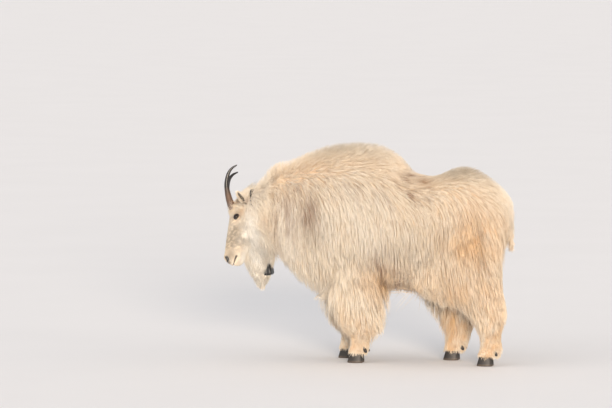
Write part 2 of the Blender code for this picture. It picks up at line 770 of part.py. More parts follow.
def lock_faces(bm, path, width, ridge, margin):
    """A flat, tapered blade along a path, with its ridge outwards. A margin gives its room."""
    points, ups = path
    loops = []
    for i in range(len(points)):
        last = i == len(points) - 1
        ahead = (points[min(i + 1, len(points) - 1)] - points[max(i - 1, 0)]).normalized()
        across = ahead.cross(ups[i]).normalized()
        up = across.cross(ahead)
        half = across * (0.0 if last else width / 2 * LOCK_WIDTHS[i])
        crest = up * (0.0 if last else ridge * LOCK_RIDGES[i])
        if margin:
            beside, above = across * margin * 2, up * margin
            base = points[i] + ahead * margin * (-1 if i == 0 else 1 if last else 0)
            spots = [base - half - beside - above, base - half - beside + above]
            spots += [base + crest + above * 1.5]
            spots += [base + half + beside + above, base + half + beside - above]
        elif last:
            break
        else:
            spots = [points[i] - half, points[i] + crest, points[i] + half]
        loops.append([bm.verts.new(spot) for spot in spots])
    sides = len(loops[0])
    bm.faces.new(loops[0])
    for one, other in zip(loops, loops[1:]):
        for k in range(sides):
            m = (k + 1) % sides
            bm.faces.new((one[k], one[m], other[m]))
            bm.faces.new((one[k], other[m], other[k]))
    if margin:
        bm.faces.new(loops[-1])
        return
    tip = bm.verts.new(points[-1])
    for k in range(sides):
        bm.faces.new((loops[-1][k], loops[-1][(k + 1) % sides], tip))


def lock_object(lock, finish, margin=0.0):
    """One lock, or with a margin the room that it needs in a neighbouring node."""
    path, width, ridge = lock
    bm = bmesh.new()
    lock_faces(bm, path, width, ridge, margin)
    return add_object("lock", bm, finish)


def trunk_lie(angle):
    """The lie of the trunk's coat: down the sides and back along the crest."""
    back = 0.20 + 1.2 * max(0.0, math.cos(math.radians(angle)))
    return Vector((back, 0.0, -1.0))


def trunk_spot(x, angle, side, share):
    """A point on the trunk's surface, by its angle from the crest."""
    top, bottom, half, above, below, beside = smooth_at(TRUNK, x)
    widest = bottom + 0.48 * (top - bottom)
    c, s = math.cos(math.radians(angle)), math.sin(math.radians(angle))
    tall = top + share * above - widest if c > 0 else widest - bottom + share * below
    across = side * (half + share * beside) * abs(s) ** (2 / 2.2)
    height = math.copysign(abs(c) ** (2 / 2.2), c) * tall
    return Vector((x + rearward(x, share), across, widest + height))


def trunk_locks(core, tips, draw):
    """Rows of locks down both sides, from the crest to the fringe under chest and belly."""
    locks = []
    for side in (1, -1):
        for row, (angle, rise, shortest, longest, width, droop, step) in enumerate(TRUNK_LOCKS):
            shift = 0.25 * side + 0.5 * (row % 2)
            for i in range(-1, int((TRUNK_LOCKS_TO - TRUNK_LOCKS_FROM) / step) + 2):
                x = TRUNK_LOCKS_FROM + step * (i + shift + draw.uniform(-0.16, 0.16))
                turn = min(angle + draw.uniform(-5, 5), 178)
                scale = draw.uniform(0.85, 1.12)
                sway = draw.uniform(-0.18, 0.18)
                broad = width * draw.uniform(0.88, 1.06)
                if not TRUNK_LOCKS_FROM < x < TRUNK_LOCKS_TO:
                    continue
                spot = trunk_spot(x, turn, side, CORE_SHARE)
                lie = trunk_lie(turn) + Vector((sway, 0.0, 0.0))
                lengths = (shortest * scale, longest * scale)
                ride = LOCK_RIDGE * 0.8 * (i % 2)
                path = lock_path(core, tips, spot, lie, rise, lengths, droop, ride)
                if path:
                    locks.append((path, broad, LOCK_RIDGE))
    return locks


def ring_spot(centre, reach, half, z, turn):
    return Vector((centre[0] + reach * math.cos(turn), centre[1] + half * math.sin(turn), z))


def leg_locks(core, tips, draw):
    """Rings of hanging locks round the pantaloons and thighs."""
    locks = []
    for leg, table in LEG_TABLES.items():
        foot = CANNON[leg]
        for z, count, length, width in FRONT_LOCKS if leg.startswith("front") else HIND_LOCKS:
            front, back, half, before, behind, beside = smooth_at(table, z)
            share = leg_share(table, z, CORE_SHARE)
            reach = (back - front + share * (before + behind)) / 2
            middle = (back + front + share * (behind - before)) / 2
            centre = (foot[0] + middle, foot[1])
            offset = draw.uniform(0, 1)
            for i in range(count):
                turn = 2 * math.pi * (i + offset) / count
                level = z + draw.uniform(-0.015, 0.015)
                spot = ring_spot(centre, reach, half + share * beside, level, turn)
                long = length * draw.uniform(0.9, 1.1)
                lie = Vector((0.08 + draw.uniform(-0.12, 0.12), 0.0, -1.0))
                ride = LOCK_RIDGE * 0.8 * (i % 2)
                path = lock_path(core, tips, spot, lie, 0.4, (long * 0.9, long), 0.6, ride)
                if path:
                    locks.append((path, width, LOCK_RIDGE))
    return locks


def ruff_locks(core, tips, draw):
    """The beard under the chin and the ruff behind the cheeks."""
    locks = []
    for z, count, length, width in RUFF_LOCKS:
        front, rear, half, depth = smooth_at(RUFF, z)
        hidden = (1.0 - CORE_SHARE) * depth
        centre = ((front + rear - hidden) / 2, 0.0)
        for i in range(count):
            turn = 2 * math.pi * (i + 0.5) / count
            spot = ring_spot(centre, (rear - front - hidden) / 2, half - hidden, z, turn)
            long = length * draw.uniform(0.9, 1.1)
            path = lock_path(core, tips, spot, HANGING, 0.35, (long * 0.9, long), 0.5)
            if path:
                locks.append((path, width, FINE_RIDGE))
    return locks


def cover_locks(core, tips):
    """Locks at chosen places, where the rows leave the strap or the rump bare."""
    locks = []
    for (x, y, z), length, width in COVER_LOCKS:
        for side in (1, -1):
            spot, _, _, _ = core.find_nearest(Vector((x, y * side, z)))
            path = lock_path(core, tips, spot, HANGING, 0.3, (length, length), 0.6)
            if path:
                locks.append((path, width, FINE_RIDGE))
    return locks


def tail_locks():
    """A few locks down the tail, which hide its core."""
    locks = []
    down = (TAIL_TIP + Vector((-0.033, 0.0, 0.0)) - TAIL_ROOT).normalized()
    for share, aside, length in TAIL_LOCKS:
        out = Vector((1.0, aside, 0.17)).normalized()
        start = TAIL_ROOT.lerp(TAIL_TIP, share) + Vector((0.016, aside * 0.030, 0.0))
        points = [start - out * 0.004]
        for mark in LOCK_MARKS:
            points.append(start + down * length * mark + out * (0.010 + 0.006 * mark))
        locks.append(((points, [out] * len(points)), TAIL_LOCK_WIDTH, FINE_RIDGE))
    return locks


# Hooves, tail and collar

def claw(name, foot, side, toe_x, finish):
    """Half of a cloven hoof. side is 1 for the claw at +Y."""
    levels = [
        (CORONET - GAP, 0.030, 0.000), (0.034, 0.034, 0.000),
        (0.005, 0.039, -0.003), (0.000, 0.037, -0.003),
    ]
    spread_angle = math.radians(5) * side
    half_width, sides = 0.0165, 8
    rings = []
    for z, reach, shift in levels:
        ring = []
        for i in range(sides):
            turn = 2 * math.pi * i / sides
            c, s = math.cos(turn), math.sin(turn)
            x = math.copysign(abs(c) ** 0.75, c) * reach
            y = math.copysign(abs(s) ** 0.75, s) * half_width
            y *= 1.0 - 0.22 * max(0.0, -x / reach) ** 2
            y *= reach / levels[0][1] if y * side > 0 else 1.0
            spot = Matrix.Rotation(-spread_angle, 2) @ Vector((x + shift, y))
            ring.append(
                Vector((foot[0] + toe_x + spot.x, foot[1] + side * 0.0192 + spot.y, z))
            )
        rings.append(ring)
    return loft(name, rings, finish)


def dewclaw(name, foot, side, heel_x, finish):
    """A small blunt cone behind the pastern."""
    root = Vector((foot[0] + heel_x - 0.022, foot[1] + side * 0.018, 0.082))
    tip = Vector((foot[0] + heel_x + 0.004, foot[1] + side * 0.034, 0.054))
    along = (tip - root).normalized()
    across = along.cross(Vector((0.0, 1.0, 0.0))).normalized()
    beside = along.cross(across)
    rings = []
    for share, radius in ((0.0, 0.009), (0.5, 0.010), (1.0, 0.005)):
        centre = root.lerp(tip, share)
        turns = [2 * math.pi * k / 6 for k in range(6)]
        rings.append(
            [centre + (across * math.cos(t) + beside * math.sin(t)) * radius for t in turns]
        )
    return loft(name, rings, finish)


def make_tail(finish):
    """The short tail, which hangs flat against the rump."""
    rings = []
    shape = [(0.0, 0.022, 0.018), (0.2, 0.030, 0.022), (0.45, 0.032, 0.022), (0.7, 0.022, 0.015),
             (0.85, 0.008, 0.006)]
    along = (TAIL_TIP - TAIL_ROOT).normalized()
    back = along.cross(Vector((0.0, 1.0, 0.0))).normalized()
    for share, half, thick in shape:
        centre = TAIL_ROOT.lerp(TAIL_TIP, share)
        centre = centre + Vector((0.018, 0.0, 0.0)) * math.sin(math.pi * share)
        ring = [centre + Vector((0.0, y, 0.0)) + back * t for y, t in oval(8, half, thick, thick)]
        rings.append(ring)
    return loft("tail", rings, finish)


def strap_matrix():
    """The strap's own frame: x across the strap, y to the side, z up its long way."""
    return Matrix.Translation(STRAP_AT) @ Matrix.Rotation(-STRAP_LEAN, 4, "Y")


def make_strap(finish, margin=0.0):
    """A flat strap bent into an oval ring."""
    steps = 16
    bm = bmesh.new()
    half = STRAP_WIDTH / 2 + margin
    outline = []
    for i in range(steps):
        turn = 2 * math.pi * i / steps
        pinch = 1.0 - STRAP_PINCH * max(0.0, -math.sin(turn)) ** 1.5
        y = math.cos(turn) * STRAP_HALF_WIDTH * pinch
        outline.append(Vector((0.0, y, math.sin(turn) * STRAP_HALF_HEIGHT)))
    loops = []
    for i, out in enumerate(outline):
        ahead = outline[(i + 1) % steps] - outline[i - 1]
        normal = Vector((0.0, ahead.z, -ahead.y)).normalized()
        inner = out - normal * margin
        outer = out + normal * (STRAP_THICKNESS + margin)
        corners = (inner - Vector((half, 0, 0)), inner + Vector((half, 0, 0)),
                   outer + Vector((half, 0, 0)), outer - Vector((half, 0, 0)))
        loops.append([bm.verts.new(strap_matrix() @ corner) for corner in corners])
    for i, loop in enumerate(loops):
        after = loops[(i + 1) % steps]
        for k in range(4):
            m = (k + 1) % 4
            bm.faces.new((loop[k], loop[m], after[m], after[k]))
    return add_object("collar_strap", bm, finish, smooth=False)


def make_housing(finish):
    """The battery housing under the strap, a block with rounded edges."""
    bm = bmesh.new()
    bmesh.ops.create_cube(bm, size=1.0)
    drop = STRAP_HALF_HEIGHT + STRAP_THICKNESS + GAP + HOUSING[2] / 2
    place = strap_matrix() @ Matrix.Translation((0.0, 0.0, -drop))
    bmesh.ops.transform(bm, matrix=place @ Matrix.Diagonal((*HOUSING, 1.0)), verts=bm.verts)
    obj = add_object("collar_housing", bm, finish)
    bevel = obj.modifiers.new("Bevel", "BEVEL")
    bevel.width = 0.010
    bevel.segments = 2
    return obj


# Parting the whole into nodes

def half_space(name, point, normal, finish):
    """A large block that starts at a plane and lies on the side its normal points to."""
    size = 4.0
    bm = bmesh.new()
    bmesh.ops.create_cube(bm, size=size)
    turn = Vector(normal).normalized().to_track_quat("Z", "Y").to_matrix().to_4x4()
    place = Matrix.Translation(point) @ turn @ Matrix.Translation((0, 0, size / 2))
    bmesh.ops.transform(bm, matrix=place, verts=bm.verts)
    return add_object(name, bm, finish, smooth=False)


def cut_away(obj, cutters):
    apply_boolean(obj, "DIFFERENCE", cutters)


def leg_boxes():
    """The box that holds each leg: its lowest and highest corner."""
    front, hind = LEG_CUT_Z["front"], LEG_CUT_Z["hind"]
    return {
        "leg_front_left": ((-0.205, -0.500, -0.1), (0.185, -LEG_CUT_Y, front)),
        "leg_front_right": ((-0.300, LEG_CUT_Y, -0.1), (0.090, 0.500, front)),
        "leg_hind_left": ((0.345, -0.500, -0.1), (0.850, -GAP / 2, hind)),
        "leg_hind_right": ((0.236, GAP / 2, -0.1), (0.850, 0.500, hind)),
    }


def body_cuts():
    """The planes that part head, neck, torso and rump: a point and the way to the rump."""
    slant = Vector((math.cos(STRAP_LEAN), 0.0, math.sin(STRAP_LEAN)))
    upright = Vector((1.0, 0.0, 0.0))
    return [
        (HEAD_CUT_AT, slant),
        (Vector((NECK_CUT_X, 0.0, 0.7)), upright),
        (Vector((RUMP_CUT_X, 0.0, 0.7)), upright),
    ]


def node_of(point):
    """The name of the node whose share of the body holds a point."""
    for name, (low, high) in leg_boxes().items():
        if all(low[k] <= point[k] <= high[k] for k in range(3)):
            upper = point.z > SHANK_CUT_Z[name.split("_")[1]]
            return ("upper_" if upper else "lower_") + name
    for name, (place, way) in zip(("head", "neck", "torso"), body_cuts()):
        if (point - place).dot(way) < 0.0:
            return name
    return "rump"


def part_body(body, finish):
    """Cut the whole body into head, neck, torso, rump and the halves of the legs."""
    made = {}
    for name, (low, high) in leg_boxes().items():
        level = SHANK_CUT_Z[name.split("_")[1]]
        upper = (low[0], low[1], level + GAP / 2), high
        lower = low, (high[0], high[1], level - GAP / 2)
        for word, cell in (("upper_", upper), ("lower_", lower)):
            piece = copy_of(body, word + name)
            apply_boolean(piece, "INTERSECT", [block("cell", *cell, finish)])
            made[word + name] = piece
    for low, high in leg_boxes().values():
        low = Vector(low) - Vector((GAP,) * 3)
        high = Vector(high) + Vector((GAP,) * 3)
        cut_away(body, [block("room", low, high, finish)])
    cuts = body_cuts()
    for i, name in enumerate(("head", "neck", "torso", "rump")):
        piece = copy_of(body, name)
        if i > 0:
            point, normal = cuts[i - 1]
            cut_away(piece, [half_space("ahead", point + normal * GAP / 2, -normal, finish)])
        if i < len(cuts):
            point, normal = cuts[i]
            cut_away(piece, [half_space("behind", point - normal * GAP / 2, normal, finish)])
        made[name] = piece
    bpy.data.objects.remove(body, do_unlink=True)
    return made


def boxes_meet(one, other):
    """Whether two lists of points have bounding boxes that meet."""
    return all(
        min(p[k] for p in one) - 0.06 < max(p[k] for p in other)
        and min(p[k] for p in other) - 0.06 < max(p[k] for p in one)
        for k in range(3)
    )


def dress(pieces, locks, finish):
    """Root each lock in its node, and cut later nodes clear of the locks of earlier ones."""
    rooted = {name: [] for name in pieces}
    for lock in locks:
        rooted[node_of(lock[0][0][0])].append(lock)
    rooted["tail"] = tail_locks()
    order = sorted(pieces, key=DRESS_ORDER.index)
    cores = {name: copy_of(pieces[name], name + "_core") for name in order}
    for i, name in enumerate(order):
        piece = pieces[name]
        if rooted[name]:
            apply_boolean(piece, "UNION", [lock_object(lock, finish) for lock in rooted[name]])
        rooms = []
        corners = [vert.co for vert in piece.data.vertices]
        for earlier in order[:i]:
            rooms += [
                lock_object(lock, finish, GAP)
                for lock in rooted[earlier]
                if boxes_meet(lock[0][0], corners)
            ]
        for earlier in order[:i]:
            if rooted[name] and boxes_meet([v.co for v in cores[earlier].data.vertices], corners):
                rooms.append(grown(cores[earlier], 0.0008))
        if rooms:
            cut_away(piece, rooms)
    for core in cores.values():
        bpy.data.objects.remove(core, do_unlink=True)


def build():
    clear_scene()
    coat = material("cream winter coat", (0.78, 0.64, 0.46), 0.85)
    short_coat = material("short face coat", (0.72, 0.60, 0.45), 0.80)
    horn_finish = material("dark horn", (0.045, 0.035, 0.030), 0.40)
    hoof_finish = material("black hoof", (0.020, 0.018, 0.016), 0.50)
    eye_finish = material("dark eye", (0.015, 0.010, 0.008), 0.08)
    strap_finish = material("dark strap", (0.030, 0.028, 0.026), 0.60)
    housing_finish = material("black housing", (0.010, 0.010, 0.011), 0.45)

    body = coat_body(CORE_SHARE, coat)
    envelope = coat_body(1.0, coat)
    core, tips = surface_of(body), surface_of(envelope)
    bpy.data.objects.remove(envelope, do_unlink=True)
    draw = random.Random(SEED)
    locks = trunk_locks(core, tips, draw)
    locks += leg_locks(core, tips, draw)
    locks += ruff_locks(core, tips, draw)
    locks += cover_locks(core, tips)

    tail = make_tail(coat)
    to_model = head_matrix()
    head = make_head(coat)
    head.data.transform(to_model)
    apply_boolean(body, "UNION", [head])
    pieces = part_body(body, coat)
    cut_away(pieces["rump"], [grown(tail)])
    pieces["tail"] = tail
    dress(pieces, locks, coat)
    pieces["head"].data.materials[0] = short_coat

    for side, word in ((1, "left"), (-1, "right")):
        horn = make_horn("horn_" + word, side, horn_finish)
        ear = make_ear("ear_" + word, side, short_coat)
        eye = ball("eye_" + word, mirrored(EYE, side), (EYE_RADIUS,) * 3, eye_finish)
        for organ in (horn, ear, eye):
            organ.data.transform(to_model)
        cut_away(pieces["head"], [grown(horn)])
        cut_away(pieces["head"], [grown(ear, 0.0013)])
        cut_away(pieces["neck"], [grown(ear, 0.0013)])

    strap = make_strap(strap_finish)
    housing = make_housing(housing_finish)
    for piece in (pieces["neck"], pieces["head"]):
        cut_away(piece, [make_strap(strap_finish, GAP), grown(housing, GAP * 2)])

    for leg, foot in CANNON.items():
        for side, word in ((-1, "left"), (1, "right")):
            claw(f"hoof_{leg}_{word}", foot, side, TOE_X[leg], hoof_finish)
            dew = dewclaw(f"dewclaw_{leg}_{word}", foot, side, HEEL_X[leg], hoof_finish)
            cut_away(pieces["lower_leg_" + leg], [grown(dew)])

    for piece in pieces.values():
        keep_largest(piece)
    for obj in bpy.data.objects:
        obj.data.transform(Matrix.Translation(MIDDLE))


build()
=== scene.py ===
# %% [markdown]
# # A mountain goat in its winter coat
# The goat stands with its head low and a little turned to us. Nearly all that the eye meets
# is hair, 1 cm long on the face and up to 20 cm on flanks and legs. The CAD solids give
# the outline to the tips of that hair. This lesson puts a skin inside them, grows the hair
# out to the same outline, and then makes the eyes, horns, hooves and collar.
# Everything is in metres in the frame of the solids: the nose points to -X, up is +Z.

# %% Load the solids
import json
import math

import bmesh
import bpy
import numpy as np
from mathutils import Matrix, Vector
from mathutils.bvhtree import BVHTree
from mathutils.kdtree import KDTree

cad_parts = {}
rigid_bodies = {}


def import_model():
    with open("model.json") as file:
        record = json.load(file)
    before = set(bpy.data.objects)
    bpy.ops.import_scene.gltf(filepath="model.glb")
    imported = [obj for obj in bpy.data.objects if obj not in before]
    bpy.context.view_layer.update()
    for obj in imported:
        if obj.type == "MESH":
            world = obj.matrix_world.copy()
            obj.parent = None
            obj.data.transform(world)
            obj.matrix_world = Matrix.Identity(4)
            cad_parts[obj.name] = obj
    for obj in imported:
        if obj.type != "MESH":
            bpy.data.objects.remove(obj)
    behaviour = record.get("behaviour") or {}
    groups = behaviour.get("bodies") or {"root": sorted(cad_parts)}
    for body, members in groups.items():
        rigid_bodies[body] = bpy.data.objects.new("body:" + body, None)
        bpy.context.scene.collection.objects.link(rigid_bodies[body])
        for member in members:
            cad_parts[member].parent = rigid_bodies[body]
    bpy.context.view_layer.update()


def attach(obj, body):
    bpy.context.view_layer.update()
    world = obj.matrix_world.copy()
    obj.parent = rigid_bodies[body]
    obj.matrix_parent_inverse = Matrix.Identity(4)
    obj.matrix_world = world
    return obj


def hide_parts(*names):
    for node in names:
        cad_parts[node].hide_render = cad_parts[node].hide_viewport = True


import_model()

# %% [markdown]
# ## Helpers for colours, nodes and meshes
# Colours are picked as sRGB hex values, as in any paint program, and the shader wants them
# linear. One function adds a node with its settings and its links. Meshes of many small
# parts are quickest when whole arrays go in at once, so one function takes arrays.

# %% Colours and shader nodes
def linear(code):
    """An sRGB hex colour as the linear RGBA that a shader takes."""
    parts = [int(code[i:i + 2], 16) / 255 for i in (1, 3, 5)]
    return (*(p / 12.92 if p <= 0.04045 else ((p + 0.055) / 1.055) ** 2.4 for p in parts), 1.0)


def node(tree, kind, inputs=None, **settings):
    """Add a node. inputs gives each socket, by name or number, a value or another node's output."""
    made = tree.nodes.new(kind)
    for name, value in settings.items():
        setattr(made, name, value)
    for socket, value in (inputs or {}).items():
        if isinstance(value, bpy.types.NodeSocket):
            tree.links.new(value, made.inputs[socket])
        else:
            made.inputs[socket].default_value = value
    return made


def new_finish(name, roughness, ior, **sockets):
    """A material with its Principled shader, and that shader's uniform values."""
    made = bpy.data.materials.new(name)
    made.use_nodes = True
    shader = made.node_tree.nodes["Principled BSDF"]
    shader.inputs["Roughness"].default_value = roughness
    shader.inputs["IOR"].default_value = ior
    for socket, value in sockets.items():
        shader.inputs[socket.replace("_", " ")].default_value = value
    return made, made.node_tree, shader


def mottled(name, roughness, ior, scale, dark, light, detail=2.0, **sockets):
    """A finish whose colour drifts between two, in clouds that stay fixed to the piece."""
    made, tree, shader = new_finish(name, roughness, ior, **sockets)
    place = node(tree, "ShaderNodeTexCoord")
    cloud = node(tree, "ShaderNodeTexNoise", {"Vector": place.outputs["Object"], "Scale": scale,
                                              "Detail": detail})
    colour = node(tree, "ShaderNodeMix", {0: cloud.outputs["Fac"], 6: linear(dark),
                                          7: linear(light)}, data_type="RGBA")
    tree.links.new(colour.outputs[2], shader.inputs["Base Color"])
    return made, tree, shader


print("cream hair, linear:", [round(v, 3) for v in linear("#F2E4CC")])

# %% Meshes from arrays
def add_object(name, data):
    """An object for a mesh, curve, lamp or camera, linked into the scene."""
    made = bpy.data.objects.new(name, data)
    bpy.context.scene.collection.objects.link(made)
    return made


def add_mesh(name, points, faces, finish=None, smooth=True):
    """An object from an array of points and a list of arrays of faces."""
    mesh = bpy.data.meshes.new(name)
    points = np.asarray(points, np.float32).reshape(-1, 3)
    loops = np.concatenate([np.asarray(f, np.int32).ravel() for f in faces])
    totals = np.concatenate([np.full(len(f), np.shape(f)[1], np.int32) for f in faces])
    mesh.vertices.add(len(points))
    mesh.vertices.foreach_set("co", points.ravel())
    mesh.loops.add(len(loops))
    mesh.loops.foreach_set("vertex_index", loops)
    mesh.polygons.add(len(totals))
    mesh.polygons.foreach_set("loop_start", np.cumsum(totals) - totals)
    mesh.polygons.foreach_set("loop_total", totals)
    mesh.update(calc_edges=True)
    mesh.polygons.foreach_set("use_smooth", np.broadcast_to(smooth, len(totals)).copy())
    if finish:
        mesh.materials.append(finish)
    return add_object(name, mesh)


def add_bmesh(name, bm):
    """An object from a bmesh, which is then freed."""
    mesh = bpy.data.meshes.new(name)
    bm.to_mesh(mesh)
    bm.free()
    return add_object(name, mesh)


def grid_faces(count, sides):
    """Faces over a grid of points that closes in both directions."""
    i, j = np.indices((count, sides))
    ahead, beside = (i + 1) % count * sides, (j + 1) % sides
    corners = i * sides + j, i * sides + beside, ahead + beside, ahead + j
    return [np.stack(corners, -1).reshape(-1, 4)]


def tube(rings):
    """Points and faces of a closed skin over an array of rings."""
    count, sides = rings.shape[:2]
    points = np.concatenate([rings.reshape(-1, 3), [rings[0].mean(0)], [rings[-1].mean(0)]])
    i, j = np.indices((count - 1, sides))
    a, b = i * sides + j, i * sides + (j + 1) % sides
    quads = np.stack([a, b, b + sides, a + sides], -1).reshape(-1, 4)
    k = np.arange(sides)
    first = np.stack([(k + 1) % sides, k, np.full(sides, count * sides)], -1)
    base = (count - 1) * sides
    last = np.stack([base + k, base + (k + 1) % sides, np.full(sides, count * sides + 1)], -1)
    return points, [quads, np.concatenate([first, last])]


def face_out(obj):
    """Make all faces of a closed mesh point outwards."""
    bm = bmesh.new()
    bm.from_mesh(obj.data)
    bmesh.ops.recalc_face_normals(bm, faces=bm.faces)
    bm.to_mesh(obj.data)
    bm.free()
    return obj


def several_tubes(name, groups):
    """One object from the rings of several tubes."""
    points, quads, triangles, start = [], [], [], 0
    for rings in groups:
        p, (q, t) = tube(rings)
        points.append(p)
        quads.append(q + start)
        triangles.append(t + start)
        start += len(p)
    return face_out(add_mesh(name, np.concatenate(points),
                             [np.concatenate(quads), np.concatenate(triangles)]))


def evaluated_copy(obj):
    """Give an object the mesh that its modifiers make, and take the modifiers off."""
    graph = bpy.context.evaluated_depsgraph_get()
    made = bpy.data.meshes.new_from_object(obj.evaluated_get(graph))
    obj.modifiers.clear()
    obj.data = made
    return obj


def unit(vectors):
    """Vectors of length 1."""
    return vectors / np.maximum(np.linalg.norm(vectors, axis=-1, keepdims=True), 1e-9)


def left_side(points):
    """Points with those of the right side mirrored to the left."""
    mirror = points.copy()
    mirror[..., 1] = np.abs(mirror[..., 1])
    return mirror


# %% [markdown]
# ## The goat's measures
# The tables are those of the solids: stations along trunk, legs, head and ruff, each with
# the flesh's outline and the depth of coat over it. A smooth cubic runs through them. They
# were drawn around another middle, and the last move, MIDDLE, centres the model.

# %% Stations of the trunk and legs
MIDDLE = np.array((-0.0073, -0.0003, 0.0))

# X, the flesh's top, bottom and half width, then the depth of coat above, below and beside
TRUNK = [
    (-0.600, 0.822, 0.668, 0.058, 0.040, 0.030, 0.040),
    (-0.540, 0.848, 0.642, 0.070, 0.072, 0.040, 0.050),
    (-0.480, 0.872, 0.612, 0.084, 0.098, 0.050, 0.058),
    (-0.420, 0.888, 0.580, 0.103, 0.101, 0.080, 0.062),
    (-0.360, 0.910, 0.540, 0.128, 0.101, 0.120, 0.065),
    (-0.300, 0.934, 0.505, 0.150, 0.103, 0.150, 0.065),
    (-0.220, 0.955, 0.482, 0.172, 0.115, 0.160, 0.065),
    (-0.120, 0.966, 0.472, 0.186, 0.122, 0.130, 0.065),
    (-0.020, 0.967, 0.468, 0.193, 0.126, 0.110, 0.065),
    (0.060, 0.953, 0.472, 0.197, 0.130, 0.110, 0.065),
    (0.120, 0.937, 0.480, 0.199, 0.118, 0.115, 0.062),
    (0.170, 0.921, 0.488, 0.199, 0.095, 0.125, 0.060),
    (0.210, 0.907, 0.496, 0.197, 0.055, 0.135, 0.055),
    (0.260, 0.900, 0.508, 0.193, 0.036, 0.150, 0.050),
    (0.330, 0.895, 0.530, 0.186, 0.030, 0.160, 0.052),
    (0.370, 0.894, 0.545, 0.182, 0.050, 0.160, 0.055),
    (0.430, 0.896, 0.565, 0.176, 0.074, 0.150, 0.060),
    (0.490, 0.897, 0.580, 0.168, 0.081, 0.130, 0.065),
    (0.550, 0.884, 0.595, 0.155, 0.080, 0.110, 0.065),
    (0.610, 0.850, 0.615, 0.130, 0.068, 0.090, 0.060),
    (0.650, 0.812, 0.640, 0.095, 0.062, 0.070, 0.055),
    (0.672, 0.765, 0.690, 0.045, 0.055, 0.050, 0.050),
]
RUMP_COAT = 0.055

# Z, the flesh's front and back from the cannon, its half width, then the coat before, behind, beside
FRONT_LEG = [
    (0.700, -0.110, 0.090, 0.045, 0.000, 0.000, 0.000),
    (0.600, -0.105, 0.085, 0.052, 0.020, 0.020, 0.020),
    (0.520, -0.085, 0.072, 0.050, 0.060, 0.050, 0.045),
    (0.450, -0.062, 0.050, 0.042, 0.090, 0.078, 0.052),
    (0.380, -0.048, 0.038, 0.036, 0.103, 0.100, 0.057),
    (0.310, -0.042, 0.036, 0.034, 0.110, 0.114, 0.058),
    (0.260, -0.038, 0.032, 0.031, 0.111, 0.120, 0.056),
    (0.215, -0.032, 0.028, 0.027, 0.098, 0.122, 0.050),
    (0.178, -0.028, 0.026, 0.025, 0.068, 0.112, 0.040),
    (0.155, -0.027, 0.026, 0.024, 0.030, 0.070, 0.026),
    (0.128, -0.028, 0.028, 0.025, 0.014, 0.018, 0.014),
    (0.098, -0.032, 0.034, 0.028, 0.012, 0.018, 0.013),
    (0.070, -0.040, 0.028, 0.029, 0.010, 0.022, 0.012),
    (0.046, -0.048, 0.026, 0.034, 0.008, 0.014, 0.008),
]
HIND_LEG_BACK = [
    (0.760, -0.230, 0.000, 0.050, 0.000, 0.000, 0.000),
    (0.680, -0.258, 0.018, 0.060, 0.020, 0.030, 0.030),
    (0.600, -0.262, 0.020, 0.062, 0.045, 0.045, 0.050),
    (0.520, -0.245, 0.018, 0.058, 0.075, 0.045, 0.055),
    (0.450, -0.200, 0.018, 0.050, 0.100, 0.040, 0.055),
    (0.390, -0.130, 0.026, 0.042, 0.140, 0.032, 0.052),
    (0.340, -0.050, 0.044, 0.036, 0.190, 0.020, 0.046),
    (0.290, -0.020, 0.058, 0.031, 0.150, 0.020, 0.040),
    (0.240, -0.022, 0.044, 0.027, 0.085, 0.032, 0.034),
    (0.180, -0.024, 0.030, 0.025, 0.042, 0.026, 0.024),
    (0.150, -0.027, 0.029, 0.025, 0.030, 0.020, 0.020),
    (0.125, -0.030, 0.030, 0.026, 0.018, 0.020, 0.017),
    (0.098, -0.036, 0.034, 0.029, 0.013, 0.026, 0.015),
    (0.070, -0.048, 0.024, 0.030, 0.010, 0.036, 0.013),
    (0.046, -0.058, 0.020, 0.034, 0.008, 0.022, 0.009),
]
HIND_LEG_FORWARD = [
    (0.760, -0.080, 0.170, 0.050, 0.000, 0.000, 0.000),
    (0.680, -0.100, 0.185, 0.060, 0.020, 0.030, 0.030),
    (0.600, -0.105, 0.170, 0.062, 0.045, 0.045, 0.050),
    (0.520, -0.105, 0.140, 0.058, 0.085, 0.045, 0.055),
    (0.450, -0.085, 0.122, 0.050, 0.110, 0.040, 0.055),
    (0.390, -0.030, 0.130, 0.042, 0.150, 0.040, 0.052),
    (0.340, 0.026, 0.140, 0.036, 0.176, 0.030, 0.044),
    (0.290, 0.034, 0.116, 0.031, 0.160, 0.025, 0.036),
    (0.240, 0.018, 0.080, 0.027, 0.120, 0.026, 0.032),
    (0.180, -0.006, 0.050, 0.025, 0.075, 0.028, 0.027),
    (0.150, -0.017, 0.040, 0.025, 0.048, 0.034, 0.023),
    (0.125, -0.028, 0.030, 0.026, 0.028, 0.036, 0.019),
    (0.098, -0.040, 0.028, 0.029, 0.022, 0.028, 0.016),
    (0.070, -0.054, 0.018, 0.030, 0.014, 0.030, 0.013),
    (0.046, -0.064, 0.014, 0.034, 0.009, 0.018, 0.009),
]
# Each leg's table, where its cannon stands, and its hooves and dewclaws along X from there
LEGS = {
    "front_left": (FRONT_LEG, (-0.010, -0.112), -0.014, 0.040),
    "front_right": (FRONT_LEG, (-0.105, 0.108), -0.014, 0.040),
    "hind_left": (HIND_LEG_BACK, (0.657, -0.128), -0.024, 0.034),
    "hind_right": (HIND_LEG_FORWARD, (0.445, 0.122), -0.030, 0.030),
}

# %% Stations of the ruff, head and horns
RUFF_TOP, RUFF_LENGTH = 0.770, 0.402
